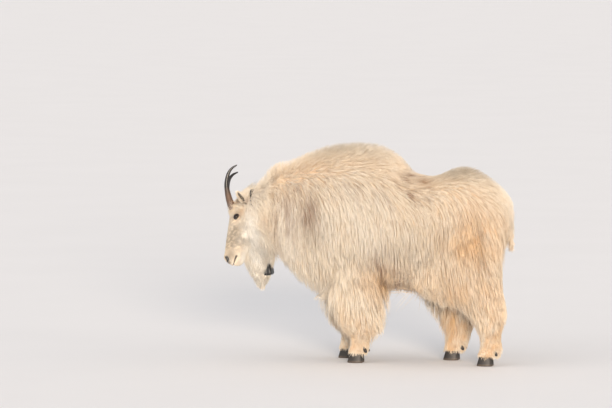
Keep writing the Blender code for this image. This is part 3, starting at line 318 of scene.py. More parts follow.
# Z, front X, rear X and half width at the tips of the ruff and beard, then the hair's depth
RUFF = [
    (0.770, -0.590, -0.560, 0.055, 0.020),
    (0.730, -0.600, -0.540, 0.078, 0.030),
    (0.680, -0.606, -0.512, 0.090, 0.040),
    (0.620, -0.604, -0.488, 0.090, 0.045),
    (0.570, -0.604, -0.474, 0.080, 0.050),
    (0.520, -0.616, -0.471, 0.068, 0.055),
    (0.470, -0.613, -0.480, 0.056, 0.050),
    (0.420, -0.586, -0.498, 0.042, 0.036),
    (0.385, -0.562, -0.516, 0.022, 0.018),
    (0.368, -0.551, -0.534, 0.008, 0.006),
]
RUFF_DROP = 0.095
FRINGE_TOP = 0.480
# Z, front X, rear X and half width of the long hair that hangs between flank and knee, and for
# each side its shift along X, its Y, and how much of the full drop it has
FLANK_FRINGE = [
    (0.480, 0.260, 0.470, 0.040),
    (0.400, 0.232, 0.480, 0.044),
    (0.340, 0.240, 0.486, 0.042),
    (0.290, 0.268, 0.484, 0.037),
    (0.240, 0.300, 0.478, 0.030),
    (0.190, 0.338, 0.470, 0.022),
    (0.150, 0.385, 0.462, 0.012),
    (0.122, 0.424, 0.452, 0.005),
]
FRINGES = {"left": (0.000, -0.146, 0.50), "right": (-0.018, 0.140, 1.00)}

# In the head's own frame, x to the muzzle, y left, z to the brow: x, top, bottom, half width
HEAD = [
    (-0.010, 0.034, -0.038, 0.034),
    (0.000, 0.052, -0.056, 0.048),
    (0.035, 0.077, -0.080, 0.060),
    (0.065, 0.085, -0.090, 0.064),
    (0.095, 0.080, -0.092, 0.065),
    (0.125, 0.074, -0.088, 0.060),
    (0.160, 0.069, -0.079, 0.051),
    (0.200, 0.063, -0.070, 0.043),
    (0.240, 0.057, -0.061, 0.038),
    (0.275, 0.052, -0.056, 0.036),
    (0.302, 0.048, -0.052, 0.036),
    (0.321, 0.041, -0.045, 0.032),
    (0.334, 0.028, -0.032, 0.023),
    (0.341, 0.010, -0.014, 0.011),
]
HEAD_AT = Vector((-0.600, 0.0, 0.790))
HEAD_LEAN, HEAD_YAW, HEAD_ROLL = (math.radians(a) for a in (15, 12, -18))
HEAD_PIVOT = 0.10
EYE = np.array((0.107, 0.0490, 0.036))
EYE_RADIUS = 0.0145

# The left horn's middle line in the head's frame, and its radius
HORN = [
    (0.068, 0.024, 0.068, 0.0165),
    (0.048, 0.028, 0.082, 0.0170),
    (0.015, 0.035, 0.103, 0.0155),
    (-0.020, 0.043, 0.122, 0.0132),
    (-0.055, 0.051, 0.133, 0.0110),
    (-0.095, 0.059, 0.135, 0.0086),
    (-0.125, 0.066, 0.124, 0.0060),
    (-0.146, 0.072, 0.104, 0.0028),
]
EAR_ROOT, EAR_TIP = np.array((0.034, 0.046, 0.010)), np.array((-0.002, 0.118, 0.059))
TAIL_ROOT, TAIL_TIP = np.array((0.672, 0.0, 0.765)), np.array((0.742, 0.0, 0.545))


def read_table(table, values):
    """Rows of a table at many values of its first column, with a smooth cubic."""
    rows = np.array(table if table[0][0] < table[-1][0] else table[::-1])
    keys = rows[:, 0]
    values = np.clip(values, keys[0], keys[-1])
    i = np.clip(np.searchsorted(keys, values) - 1, 0, len(keys) - 2)
    before, here, there, after = (rows[np.clip(i + k, 0, len(rows) - 1)] for k in (-1, 0, 1, 2))
    span = (there - here)[:, :1]
    t = (values - here[:, 0])[:, None] / span
    m0 = (there - before) / (there - before)[:, :1] * span
    m1 = (after - here) / (after - here)[:, :1] * span
    found = (2 * t**3 - 3 * t**2 + 1) * here + (t**3 - 2 * t**2 + t) * m0
    return (found + (3 * t**2 - 2 * t**3) * there + (t**3 - t**2) * m1)[:, 1:]


def spread(table, count):
    """Values of the first column, evenly spaced by station number."""
    keys = [row[0] for row in table]
    return np.interp(np.linspace(0, len(keys) - 1, count), np.arange(len(keys)), keys)


def oval(sides, half, up, down, power=2.2):
    """Rounded rings, one for each row: across and height of their points."""
    turn = np.linspace(0, 2 * np.pi, sides, endpoint=False)
    c, s = np.cos(turn), np.sin(turn)
    c, s = (np.sign(v) * np.abs(v) ** (2 / power) for v in (c, s))
    return c * half[:, None], s * np.where(s > 0, up[:, None], down[:, None])


print("tables:", len(TRUNK), "stations of the trunk,", len(HEAD), "of the head")

# %% Rings of the body, with any share of the coat
def trunk_rings(share, count, sides):
    """share is one number, or one for each ring: 0 for the hide, 1 for the tips of the coat."""
    x = spread(TRUNK, count)
    top, bottom, half, above, below, beside = read_table(TRUNK, x).T
    widest = bottom + 0.48 * (top - bottom)
    across, height = oval(sides, half + share * beside, top + share * above - widest,
                          widest - bottom + share * below)
    place = x + share * RUMP_COAT * np.clip((x - 0.52) / 0.15, 0, 1) ** 2
    return np.stack([np.broadcast_to(place[:, None], across.shape), across,
                     widest[:, None] + height], -1)


def leg_rings(leg, share, count, sides):
    table, foot = LEGS[leg][:2]
    z = spread(table, count)
    front, back, half, before, behind, beside = read_table(table, z).T
    front, back, half = front - share * before, back + share * behind, half + share * beside
    along, across = oval(sides, (back - front) / 2, half, half)
    return np.stack([foot[0] + ((front + back) / 2)[:, None] + along, foot[1] + across,
                     np.broadcast_to(z[:, None], across.shape)], -1)


def fringe_rings(side, share, count, sides):
    x, y, drop = FRINGES[side]
    z = spread(FLANK_FRINGE, count)
    front, rear, half = read_table(FLANK_FRINGE, z).T
    front, half = front + (1 - share) * 0.030, half * (0.5 + 0.5 * share)
    level = FRINGE_TOP - (FRINGE_TOP - z) * drop * (0.70 + 0.30 * share)
    along, across = oval(sides, (rear - front) / 2, half, half)
    return np.stack([x + ((front + rear) / 2)[:, None] + along, y + across,
                     np.broadcast_to(level[:, None], across.shape)], -1)


def ruff_rings(share, count, sides):
    z = spread(RUFF, count)
    front, rear, half, depth = read_table(RUFF, z).T
    half = np.maximum(half - (1 - share) * depth, 0.005)
    rear = rear - 0.4 * (1 - share) * depth
    level = z + (1 - share) * RUFF_DROP * ((RUFF_TOP - z) / RUFF_LENGTH) ** 2
    along, across = oval(sides, np.maximum((rear - front) / 2, 0.005), half, half)
    return np.stack([((front + rear) / 2)[:, None] + along, across,
                     np.broadcast_to(level[:, None], across.shape)], -1)


def tail_rings(share, count, sides):
    t = np.linspace(0, 0.85, count)
    half = np.interp(t, (0, 0.2, 0.45, 0.7, 0.85), (0.020, 0.024, 0.022, 0.014, 0.006))
    half = half * (0.6 + 0.9 * share)
    centre = TAIL_ROOT + (TAIL_TIP - TAIL_ROOT) * t[:, None]
    centre[:, 0] += 0.018 * np.sin(np.pi * t)
    back = np.cross(unit(TAIL_TIP - TAIL_ROOT), (0.0, 1.0, 0.0))
    across, height = oval(sides, half, half * 0.7, half * 0.7)
    return centre[:, None] + across[..., None] * np.array((0, 1, 0)) + height[..., None] * back


# The hide carries thick underwool: half of the coat's depth, but none under the collar
wool = np.interp(spread(TRUNK, 64), (-0.50, -0.42), (0.0, 0.5))
parts = {
    "trunk": (trunk_rings(wool, 64, 56), trunk_rings(1.0, 64, 56)),
    "ruff": (ruff_rings(0.45, 30, 28), ruff_rings(1.0, 30, 28)),
    "tail": (tail_rings(0.0, 12, 12), tail_rings(1.0, 12, 12)),
}
for leg in LEGS:
    parts[leg] = (leg_rings(leg, 0.5, 44, 28), leg_rings(leg, 1.0, 44, 28))
for side in FRINGES:
    parts["fringe_" + side] = (fringe_rings(side, 0.0, 24, 18), fringe_rings(side, 1.0, 24, 18))
print("parts of the body:", ", ".join(parts))

# %% [markdown]
# ## The skin
# Under the hair the goat has one continuous hide. The lofts of trunk, legs, throat and tail
# run into each other, and a voxel remesh melts them into one closed surface, with the soft
# folds where a limb meets the body. It stands for the felted underwool, half way out to the
# tips. The coat later hides it nearly everywhere, so 8 mm is fine.

# %% Body skin and the outline of the tips
def melted(name, which, size):
    """Join the rings of every part and remesh them into one skin."""
    made = several_tubes(name, [rings[which] for rings in parts.values()])
    remesh = made.modifiers.new("Remesh", "REMESH")
    remesh.mode = "VOXEL"
    remesh.voxel_size = size
    soft = made.modifiers.new("Soft", "SMOOTH")
    soft.iterations = 4
    return evaluated_copy(made)


def surface_of(obj):
    """A lookup for the nearest point and for rays on an object's surface."""
    return BVHTree.FromObject(obj, bpy.context.evaluated_depsgraph_get())


SKIN_VOXEL, TIPS_VOXEL = 0.0078, 0.010
skin = melted("skin", 0, SKIN_VOXEL)
outline = melted("outline", 1, TIPS_VOXEL)
hide, tips = surface_of(skin), surface_of(outline)
bpy.data.objects.remove(outline, do_unlink=True)
print("body skin:", len(skin.data.polygons), "faces")

# %% [markdown]
# ## The head
# A goat's head is a long wedge: a flat brow, an eye that sits high under a bony rim, a thin
# bridge of the nose and soft lips. It is lofted through the stations with 2 mm between points,
# fine enough to press forms into it: each form is a soft hill or hollow, given by its place,
# its size in three directions and how far it moves the skin. The muzzle's coat is 3 mm deep
# and that of brow and cheek 7 mm, so the skin lies that far inside the solid.

# %% Forms of the face
# place, sizes along, across and up, then the move along, outwards and up, in millimetres
FACE_FORMS = [
    ((112, 58, 31), (19, 30, 15), (0, -7.0, 0)),      # hollow of the eye
    ((94, 52, 53), (22, 30, 8), (0, 6.5, 2.0)),       # bony rim over the eye
    ((127, 54, 50), (12, 30, 7), (0, 3.0, 0)),        # its front end
    ((134, 58, 8), (30, 30, 8), (0, 5.5, 0)),         # ridge of the cheekbone
    ((162, 48, -18), (30, 30, 18), (0, -4.0, 0)),     # below it, before the jaw muscle
    ((86, 60, -46), (28, 30, 24), (0, 4.0, 0)),       # jaw muscle
    ((178, 44, 34), (26, 30, 14), (0, -5.0, 0)),      # side of the nose bridge
    ((135, 50, 31), (10, 30, 9), (0, -2.2, 0)),       # tear groove
    ((74, 0, 90), (24, 26, 20), (0, 0, 4.0)),         # dome of the brow
    ((309, 31, 23), (13, 30, 13), (0, 4.5, 0.5)),     # wing of the nostril
    ((287, 33, 27), (10, 30, 9), (0, -2.0, 0)),       # groove behind the wing
    ((279, 36, -12), (15, 30, 12), (0, -2.5, 0)),     # corner of the mouth
    ((303, 33, -6), (16, 30, 7), (0, 2.2, 0)),        # upper lip
    ((300, 30, -36), (18, 30, 9), (0, 1.8, -0.5)),    # lower lip
    ((316, 0, 45), (16, 14, 10), (0, 0, 3.0)),        # tip of the nose
    ((304, 0, -54), (18, 16, 10), (0, 0, -3.5)),      # chin
    ((328, 0, 8), (10, 3.0, 16), (-1.6, 0, 0)),       # furrow under the nose
]
MOUTH_CORNER = 0.290


def mouth_level(x):
    return -0.016 + 0.10 * (x - MOUTH_CORNER)


def press_forms(points):
    """Press the forms of the face, the line of the mouth and the nostrils into the head."""
    side = np.sign(points[..., 1:2])
    flip = np.concatenate([np.ones_like(side), side, np.ones_like(side)], -1)
    mirror = points * flip
    move = np.zeros_like(points)
    for place, size, way in FACE_FORMS:
        away = (mirror - np.array(place) / 1000) / (np.array(size) / 1000)
        hill = np.exp(-(away**2).sum(-1))[..., None]
        move = move + hill * np.array(way) / 1000
    x, z = mirror[..., 0], mirror[..., 2]
    inward = -unit(mirror * np.array((0.35, 1.0, 1.0)) - np.array((0.09, 0, 0)))
    below = z - mouth_level(x)
    fade = np.clip((x - MOUTH_CORNER) / 0.006, 0, 1)
    groove = 0.0050 * np.exp(-(below / 0.0024) ** 2) * fade
    rolled = 0.0011 * (np.exp(-((np.abs(below) - 0.0058) / 0.0030) ** 2)) * fade
    move = move + (groove - rolled)[..., None] * inward
    return points + move * flip


def nostril(points, grow=1.0):
    """How deep in the nostril each point is, 0 to 1: a comma that slants up and back."""
    away = left_side(points) - np.array((0.3195, 0.0265, 0.0255))
    slant = math.radians(38)
    along = away[..., 0] * math.cos(slant) - away[..., 2] * math.sin(slant)
    across = away[..., 0] * math.sin(slant) + away[..., 2] * math.cos(slant)
    bend = across - 20.0 * along**2
    return np.exp(-((along / 0.0115 / grow) ** 2 + (bend / 0.0055 / grow) ** 2) ** 1.6)


def head_rings(count, sides):
    x = spread(HEAD, count)
    top, bottom, half = read_table(HEAD, x).T
    inset = np.interp(x, (0.04, 0.12, 0.22), (0.0075, 0.005, 0.0025))
    across, height = oval(sides, half - inset, top - inset, -bottom - inset, 2.15)
    rings = press_forms(np.stack([np.broadcast_to(x[:, None], across.shape), across, height], -1))
    pit = nostril(rings)[..., None]
    side = np.sign(rings[..., 1:2])
    inward = np.concatenate([np.full_like(side, -0.75), -side * 0.62, np.full_like(side, -0.22)], -1)
    return rings + inward * pit * 0.010


def head_matrix():
    """From the head's own frame to the model's."""
    lean = HEAD_LEAN
    along = Vector((-math.sin(lean), 0.0, -math.cos(lean)))
    brow = Vector((-math.cos(lean), 0.0, math.sin(lean)))
    own = Matrix((along, Vector((0.0, -1.0, 0.0)), brow)).transposed().to_4x4()
    pivot = HEAD_AT + along * HEAD_PIVOT
    turn = Matrix.Rotation(HEAD_YAW, 4, "Z") @ Matrix.Rotation(HEAD_ROLL, 4, "X")
    return Matrix.Translation(pivot) @ turn @ Matrix.Translation(HEAD_AT - pivot) @ own


TO_MODEL = np.array(head_matrix())


SIDES = ((1, "left"), (-1, "right"))  # in the head's own frame its left is at +Y


def placed(points):
    """Points of the head's frame in the model's frame."""
    return points @ TO_MODEL[:3, :3].T + TO_MODEL[:3, 3]


def turned(vectors):
    """Directions of the head's frame in the model's frame."""
    return vectors @ TO_MODEL[:3, :3].T


def in_head(points):
    """Points of the model's frame in the head's frame."""
    return (points - TO_MODEL[:3, 3]) @ TO_MODEL[:3, :3]


face_rings = head_rings(170, 136)
print("head:", face_rings.shape[0] * face_rings.shape[1], "points")

# %% [markdown]
# ## Lids
# An eye looks alive when the lids have thickness and lie on the ball. Each lid set is one
# closed shell: it starts deep under the skin, runs over the ball to an almond-shaped opening,
# rolls round its edge and returns underneath. The front corner points 30 degrees above the nose.

# %% Lid shells
EYE_AIM = unit(np.array((0.14, 1.0, 0.20)))
LID_LIFT = math.radians(30)  # of the front corner, above the line of the head
SLIT_HALF, SLIT_UP, SLIT_DOWN = 0.0132, 0.0092, 0.0082


def lid_shell(steps=72):
    """Points and faces of the lids of the left eye, in the head's frame."""
    forward = unit(np.cross(np.array((0.0, 0.0, 1.0)), EYE_AIM) * -1)
    rise = unit(np.cross(forward, EYE_AIM) * -1)
    if rise[2] < 0:
        rise = -rise
    if forward[0] < 0:
        forward = -forward
    c, s = math.cos(LID_LIFT), math.sin(LID_LIFT)
    forward, rise = forward * c + rise * s, rise * c - forward * s
    turn = np.linspace(0, 2 * np.pi, steps, endpoint=False)
    c, s = np.cos(turn), np.sin(turn)
    half = np.where(s > 0, SLIT_UP, SLIT_DOWN)
    opening = np.stack([SLIT_HALF * c, half * s * (1 - 0.30 * np.abs(c) ** 2.5)], -1)
    opening[:, 1] -= 0.0012 * np.clip(c, 0, 1) ** 3
    edge = np.linalg.norm(opening, axis=-1)
    way = opening / edge[:, None]
    polar = np.arcsin(np.clip(edge / EYE_RADIUS, 0, 0.98))
    thick = np.where(s > 0, 0.0030, 0.0022)
    rings = []
    profile = [(1.15, 1.00), (0.80, 1.00), (0.45, 1.08), (0.22, 0.98), (0.08, 1.00), (0.00, 0.86),
               (-0.035, 0.55), (-0.02, 0.22), (0.05, 0.06), (0.30, 0.05), (0.80, 0.05), (1.15, 0.05)]
    for reach, height in profile:
        angle = np.minimum(polar + reach * (math.radians(78) - polar), math.radians(84))
        radius = EYE_RADIUS + 0.0002 + thick * height
        flat = np.sin(angle)[:, None] * way
        spot = flat[:, :1] * forward + flat[:, 1:] * rise + np.cos(angle)[:, None] * EYE_AIM
        rings.append(EYE + spot * radius[:, None])
    return np.array(rings).reshape(-1, 3), grid_faces(len(rings), steps)


def unite(obj, operation, others):
    """Join or cut an object with closed others, which are then removed."""
    group = bpy.data.collections.new("operands")
    for other in others:
        group.objects.link(other)
    boolean = obj.modifiers.new("Boolean", "BOOLEAN")
    boolean.operation = operation
    boolean.operand_type = "COLLECTION"
    boolean.collection = group
    boolean.solver = "MANIFOLD"
    evaluated_copy(obj)
    for other in list(group.objects):
        bpy.data.objects.remove(other, do_unlink=True)
    bpy.data.collections.remove(group)


def sphere(name, centre, radius, segments=48):
    """A ball at a place, as an object."""
    bm = bmesh.new()
    bmesh.ops.create_uvsphere(bm, u_segments=segments, v_segments=segments // 2, radius=radius)
    made = add_bmesh(name, bm)
    made.data.transform(Matrix.Translation(centre))
    return made


head = face_out(add_mesh("head_skin", *tube(face_rings)))
lids, balls = [], []
for side in (1, -1):
    points, faces = lid_shell()
    lids.append(face_out(add_mesh("lids", points * np.array((1, side, 1)), faces)))
    balls.append(sphere("socket", EYE * np.array((1, side, 1)), EYE_RADIUS + 0.0002))
unite(head, "UNION", lids)
unite(head, "DIFFERENCE", balls)
head.data.transform(head_matrix())
unite(skin, "UNION", [head])
skin.data.shade_smooth()
print("whole skin:", len(skin.data.polygons), "faces")

# %% [markdown]
# ## Markings
# The coat is cream. It is stained yellow-orange on the thighs, behind the elbow and low on the
# legs, and brightest on cheek and beard. It is grey-brown where it parts, and darker in the
# saddle and along the tail: partly the hair's own colour, partly painted shade, as shadow in the
# partings, in the saddle's step and in the gap beside the tail, and as grey shade on top of hump
# and rump and down the side of the nose. Each marking is a soft patch with a place and a size,
# broken up by noise.
# Skin and hair read the same patches, so that no bald-looking colour shows between tufts.

# %% Soft patches and noise
def noise(points, size, seed):
    """Smooth noise from -1 to 1 with patches of about that size."""
    draw = np.random.default_rng(seed)
    ways = unit(draw.normal(size=(9, 3))) * (2 * np.pi / size) * draw.uniform(0.35, 0.75, (9, 1))
    waves = np.sin(points @ ways.T + draw.uniform(0, 6.28, 9))
    return np.clip(waves.mean(-1) * 2.1, -1, 1)


# kind: place, sizes and strength of each patch, the same on both sides. The head's own are in
# its frame, the others in the model's
HEAD_MARKINGS = {
    "stain": [((0.080, 0.058, 0.012), (0.024, 0.04, 0.022), 0.95),
              ((0.062, 0.030, 0.070), (0.030, 0.04, 0.020), 0.35)],
    "brown_and_shade": [((0.107, 0.050, 0.036), (0.021, 0.05, 0.017), 0.55),
              ((0.020, 0.060, 0.000), (0.018, 0.05, 0.022), 0.55)],
    # grey: greyish hair, with painted shade down the side of the nose and under the eye
    "grey_and_shade": [((0.150, 0.052, 0.020), (0.045, 0.03, 0.013), 0.75),
             ((0.215, 0.042, 0.014), (0.055, 0.03, 0.016), 0.65),
             ((0.300, 0.030, 0.015), (0.045, 0.04, 0.036), 0.85),
             ((0.160, 0.020, 0.060), (0.110, 0.04, 0.020), 0.40)],
    "bright": [((0.080, 0.060, -0.050), (0.075, 0.06, 0.050), 1.00),
               ((0.290, 0.030, -0.050), (0.050, 0.05, 0.022), 0.90)],
}
MARKINGS = {
    "stain": [
        ((0.58, 0.19, 0.60), (0.16, 0.30, 0.16), 0.75),
        ((0.67, 0.10, 0.66), (0.08, 0.30, 0.10), 0.55),
        ((0.55, 0.15, 0.36), (0.20, 0.30, 0.12), 0.60),
        ((0.62, 0.12, 0.15), (0.16, 0.30, 0.13), 0.75),
        ((0.44, 0.12, 0.15), (0.12, 0.30, 0.14), 0.75),
        ((0.13, 0.16, 0.40), (0.10, 0.30, 0.09), 1.00),
        ((0.24, 0.16, 0.36), (0.10, 0.30, 0.07), 0.55),
        ((-0.05, 0.12, 0.13), (0.13, 0.30, 0.09), 0.50),
        ((-0.10, 0.05, 0.97), (0.28, 0.20, 0.06), 0.30),
        ((0.30, 0.05, 0.90), (0.14, 0.20, 0.05), 0.35),
        ((-0.50, 0.08, 0.70), (0.05, 0.10, 0.06), 0.30),
    ],
    # brown: brown tufts, and painted shade in the saddle's step behind the hump, in the partings on
    # neck and shoulder and in the gap between rump and tail
    "brown_and_shade": [
        ((0.27, 0.09, 0.915), (0.10, 0.08, 0.035), 0.95),
        ((-0.245, 0.20, 0.75), (0.045, 0.20, 0.075), 1.00),
        ((-0.360, 0.15, 0.70), (0.012, 0.20, 0.11), 1.00),
        ((-0.325, 0.15, 0.66), (0.010, 0.20, 0.09), 0.90),
        ((0.645, 0.03, 0.62), (0.012, 0.05, 0.08), 0.90),
        ((-0.135, 0.14, 0.18), (0.035, 0.10, 0.05), 0.40),
        ((0.17, 0.16, 0.33), (0.06, 0.20, 0.04), 0.45),
    ],
    # grey: painted shade on top of hump and rump, and greyish patches on shoulder and flank
    "grey_and_shade": [
        ((-0.22, 0.20, 0.70), (0.12, 0.30, 0.14), 0.35),
        ((-0.05, 0.05, 1.08), (0.36, 0.25, 0.07), 0.65),
        ((0.52, 0.05, 0.98), (0.20, 0.25, 0.08), 0.65),
        ((0.20, 0.20, 0.62), (0.20, 0.30, 0.16), 0.25),
    ],
    "bright": [
        ((-0.560, 0.06, 0.60), (0.08, 0.20, 0.18), 1.00),
        ((-0.545, 0.00, 0.45), (0.08, 0.20, 0.12), 0.80),
        ((-0.35, 0.10, 0.60), (0.09, 0.30, 0.22), 0.45),
        ((-0.02, 0.22, 0.72), (0.22, 0.30, 0.24), 0.35),
    ],
}


# Where fine brown partings run down through the coat: painted shadow in the partings
PARTING_SHADOWS = [
    ((-0.36, 0.15, 0.72), (0.13, 0.30, 0.16), 0.90),
    ((-0.245, 0.20, 0.75), (0.06, 0.20, 0.09), 1.00),
    ((-0.02, 0.20, 0.84), (0.18, 0.30, 0.06), 0.35),
    ((0.24, 0.15, 0.85), (0.13, 0.20, 0.06), 0.80),
    ((0.14, 0.16, 0.43), (0.12, 0.30, 0.12), 0.55),
    ((0.56, 0.16, 0.55), (0.14, 0.30, 0.16), 0.45),
]


def marks_at(points):
    """The strength of each marking at points of the model: stain, brown and grey, both partly painted
    shade, and bright.
    """
    mirror, own = left_side(points), left_side(in_head(points))
    found = []
    for n, (kind, patches) in enumerate(MARKINGS.items()):
        mark = np.zeros(len(points))
        for spots, spot_patches in ((mirror, patches), (own, HEAD_MARKINGS[kind])):
            for place, size, strength in spot_patches:
                away = (((spots - place) / size) ** 2).sum(-1)
                mark = np.maximum(mark, strength * np.exp(-away))
        if kind == "stain":  # blotchy on the short hair low on the legs
            low = np.clip((0.36 - points[:, 2]) / 0.10, 0, 1) * (points[:, 0] > -0.3)
            mark = mark * (1 + 0.9 * low * noise(points, 0.024, 51))
        if kind == "brown_and_shade":
            # painted shadow of the partings: fine upright lines that the brown follows on the body
            upright = noise(points * (1.0, 1.0, 0.12), 0.042, 31)
            line = 1.5 * np.exp(-(upright / 0.17) ** 2)
            mark = mark * np.where(own[:, 0] < 0.0, 0.30 + 0.85 * line, 1.0)
            for place, size, strength in PARTING_SHADOWS:
                away = (((mirror - place) / size) ** 2).sum(-1)
                mark = np.maximum(mark, strength * line * np.exp(-away))
        if kind == "grey_and_shade":
            # painted shade with greyish hair, mottled, over the side of the face
            face = np.exp(-(((own - (0.19, 0.045, 0.02)) / (0.16, 0.08, 0.065)) ** 2).sum(-1))
            mark = np.maximum(mark, face * np.clip(0.85 + noise(own, 0.010, 41) * 0.9, 0, 1))
        broken = 1 + 0.45 * noise(points, 0.11, n) + 0.35 * noise(points, 0.035, n + 20)
        found.append(np.clip(mark * broken, 0, 1))
    return np.stack(found, -1)


def write_colour(mesh, name, values):
    attribute = mesh.attributes.new(name, "FLOAT_COLOR", "POINT")
    attribute.data.foreach_set("color", np.asarray(values, np.float32).ravel())


print("markings:", {kind: len(patches) for kind, patches in MARKINGS.items()})

# %% [markdown]
# ## The finish of hair
# Goat hair is keratin over a thick cream underwool. Keratin's IOR is 1.55, and the many fine
# scales make a long-haired coat look matt with a soft sheen. Each tuft carries its markings in
# one attribute and its own chance values in another. The root end is darker and warmer: partly
# the warm underwool, partly painted shade deep between the strands. The tips are bleached.

# %% Hair material
def hair_finish(name, roughness):
    """Cream hair that reads the attributes marks (the markings) and tuft (along, chance, clump)."""
    made, tree, shader = new_finish(name, roughness, 1.55, Sheen_Weight=0.25, Sheen_Roughness=0.45,
                                     Subsurface_Weight=0.4, Subsurface_Scale=0.008,
                                     Subsurface_Radius=(1.0, 0.85, 0.7))
    marks = node(tree, "ShaderNodeAttribute", attribute_name="marks")
    tuft = node(tree, "ShaderNodeAttribute", attribute_name="tuft")
    stain_brown_grey = node(tree, "ShaderNodeSeparateColor", {0: marks.outputs["Color"]})
    own = node(tree, "ShaderNodeSeparateColor", {0: tuft.outputs["Color"]})
    place = node(tree, "ShaderNodeTexCoord")
    cloud = node(tree, "ShaderNodeTexNoise", {"Vector": place.outputs["Object"], "Scale": 9.0,
                                              "Detail": 4.0, "Roughness": 0.6})
    # Chance: each strand lies between two creams
    colour = node(tree, "ShaderNodeMix", {0: own.outputs[1], 6: linear("#F6E6CC"),
                                          7: linear("#FFF6E6")}, data_type="RGBA")
    warm = node(tree, "ShaderNodeMapRange", {0: cloud.outputs["Fac"], 1: 0.40, 2: 0.72, 3: 0.0,
                                             4: 0.45})
    colour = node(tree, "ShaderNodeMix", {0: warm.outputs[0], 6: colour.outputs[2],
                                          7: linear("#F5E0C2")}, data_type="RGBA")
    # Markings, the bright one last
    spotty = node(tree, "ShaderNodeMapRange", {0: own.outputs[2], 1: 0.30, 2: 0.75, 3: 0.55, 4: 1.6})
    # Brown, partly painted shade of the partings, shows more on some clumps than on others
    brown_and_shade = node(tree, "ShaderNodeMath", {0: stain_brown_grey.outputs[1], 1: spotty.outputs[0]},
                 operation="MULTIPLY", use_clamp=True)
    # Stain is the hair's own colour; brown and grey are partly painted shade
    for mark, code in ((stain_brown_grey.outputs[0], "#F0CA98"),
                       (stain_brown_grey.outputs[2], "#A99A85"),
                       (brown_and_shade.outputs[0], "#8A5C34")):
        colour = node(tree, "ShaderNodeMix", {0: mark, 6: colour.outputs[2], 7: linear(code)},
                      data_type="RGBA")
    colour = node(tree, "ShaderNodeMix", {0: marks.outputs["Alpha"], 6: colour.outputs[2],
                                          7: linear("#FFFAF0")}, data_type="RGBA")
    # Root to tip: painted shade deep between the strands, warm as the underwool, at the root, and
    # nothing over it from half way
    shade = node(tree, "ShaderNodeMath", {0: marks.outputs["Alpha"], 1: -0.30, 2: 0.42},
                 operation="MULTIPLY_ADD")
    root = node(tree, "ShaderNodeMapRange", {0: own.outputs[0], 1: 0.0, 2: 0.55,
                                             3: shade.outputs[0], 4: 0.0})
    colour = node(tree, "ShaderNodeMix", {0: root.outputs[0], 6: colour.outputs[2],
                                          7: linear("#D8B88E")}, data_type="RGBA",
                  blend_type="MULTIPLY")
    tree.links.new(colour.outputs[2], shader.inputs["Base Color"])
    return made


long_hair = hair_finish("cream guard hair", 0.60)
face_hair = hair_finish("short face hair", 0.65)
print("materials:", long_hair.name, "and", face_hair.name)

# %% [markdown]
# ## Tufts
# A real goat has millions of hairs. What the eye sees are tufts: a few hairs that cling
# together, wide at the skin and ending in a point. Each tuft here is a closed blade with three
# edges that follows a path. A joined mesh from arrays makes tens of thousands in seconds, and
# every tuft keeps a small patch of its own on the map OFBake, at its root's place on the
# unrolled skin, so that its colour can be stored in a picture later.

# %% Blades along paths
def tuft_mesh(name, paths, ups, width, ridge, shape, chance, finish, unrolled):
    """One object with a blade along each path. shape is the share of the width at each ring."""
    count, rings = paths.shape[:2]
    rings -= 1
    ahead = np.empty_like(paths)
    ahead[:, 1:-1] = paths[:, 2:] - paths[:, :-2]
    ahead[:, 0], ahead[:, -1] = paths[:, 1] - paths[:, 0], paths[:, -1] - paths[:, -2]
    ahead = unit(ahead)
    across = unit(np.cross(ahead, ups))
    up = np.cross(across, ahead)
    shape = np.asarray(shape)[None, :, None]
    half = across[:, :-1] * width[:, None, None] / 2 * shape
    crest = up[:, :-1] * ridge[:, None, None] * shape
    middle = paths[:, :-1]
    spots = np.stack([middle - half, middle + crest, middle + half], 2).reshape(count, -1, 3)
    points = np.concatenate([spots, paths[:, -1:]], 1)
    each = points.shape[1]
    quads = [(r * 3 + k, r * 3 + (k + 1) % 3, r * 3 + 3 + (k + 1) % 3, r * 3 + 3 + k)
             for r in range(rings - 1) for k in range(3)]
    last = rings * 3 - 3
    triangles = [(2, 1, 0)] + [(last + k, last + (k + 1) % 3, each - 1) for k in range(3)]
    start = (np.arange(count) * each)[:, None, None]
    faces = [(np.array(quads)[None] + start).reshape(-1, 4),
             (np.array(triangles)[None] + start).reshape(-1, 3)]
    # The underside stays flat-shaded, so that the upper faces are lit as the coat's surface is
    soft = np.concatenate([np.tile(np.arange(len(quads)) % 3 < 2, count),
                           np.tile((False, True, True, False), count)])
    made = add_mesh(name, points, faces, finish, soft)
    marks = marks_at(points.reshape(-1, 3))
    write_colour(made.data, "marks", marks)
    along = np.append(np.repeat(np.arange(rings) / rings, 3), 1.0)
    own = np.empty((count, each, 4))
    own[..., 0] = along
    own[..., 1:] = chance[:, None, :]
    write_colour(made.data, "tuft", own)
    patch = np.empty((count, each, 2))
    patch[..., 0] = unrolled[:, None, 0] + np.append(np.tile([-0.0012, 0.0, 0.0012], rings), 0.0)
    patch[..., 1] = unrolled[:, None, 1] + 0.003 * (along - 0.5)
    layer = made.data.uv_layers.new(name="OFBake")
    index = np.empty(len(made.data.loops), np.int32)
    made.data.loops.foreach_get("vertex_index", index)
    flat = np.clip(patch.reshape(-1, 2)[index], 0.0, 1.0)
    layer.data.foreach_set("uv", flat.astype(np.float32).ravel())
    return made


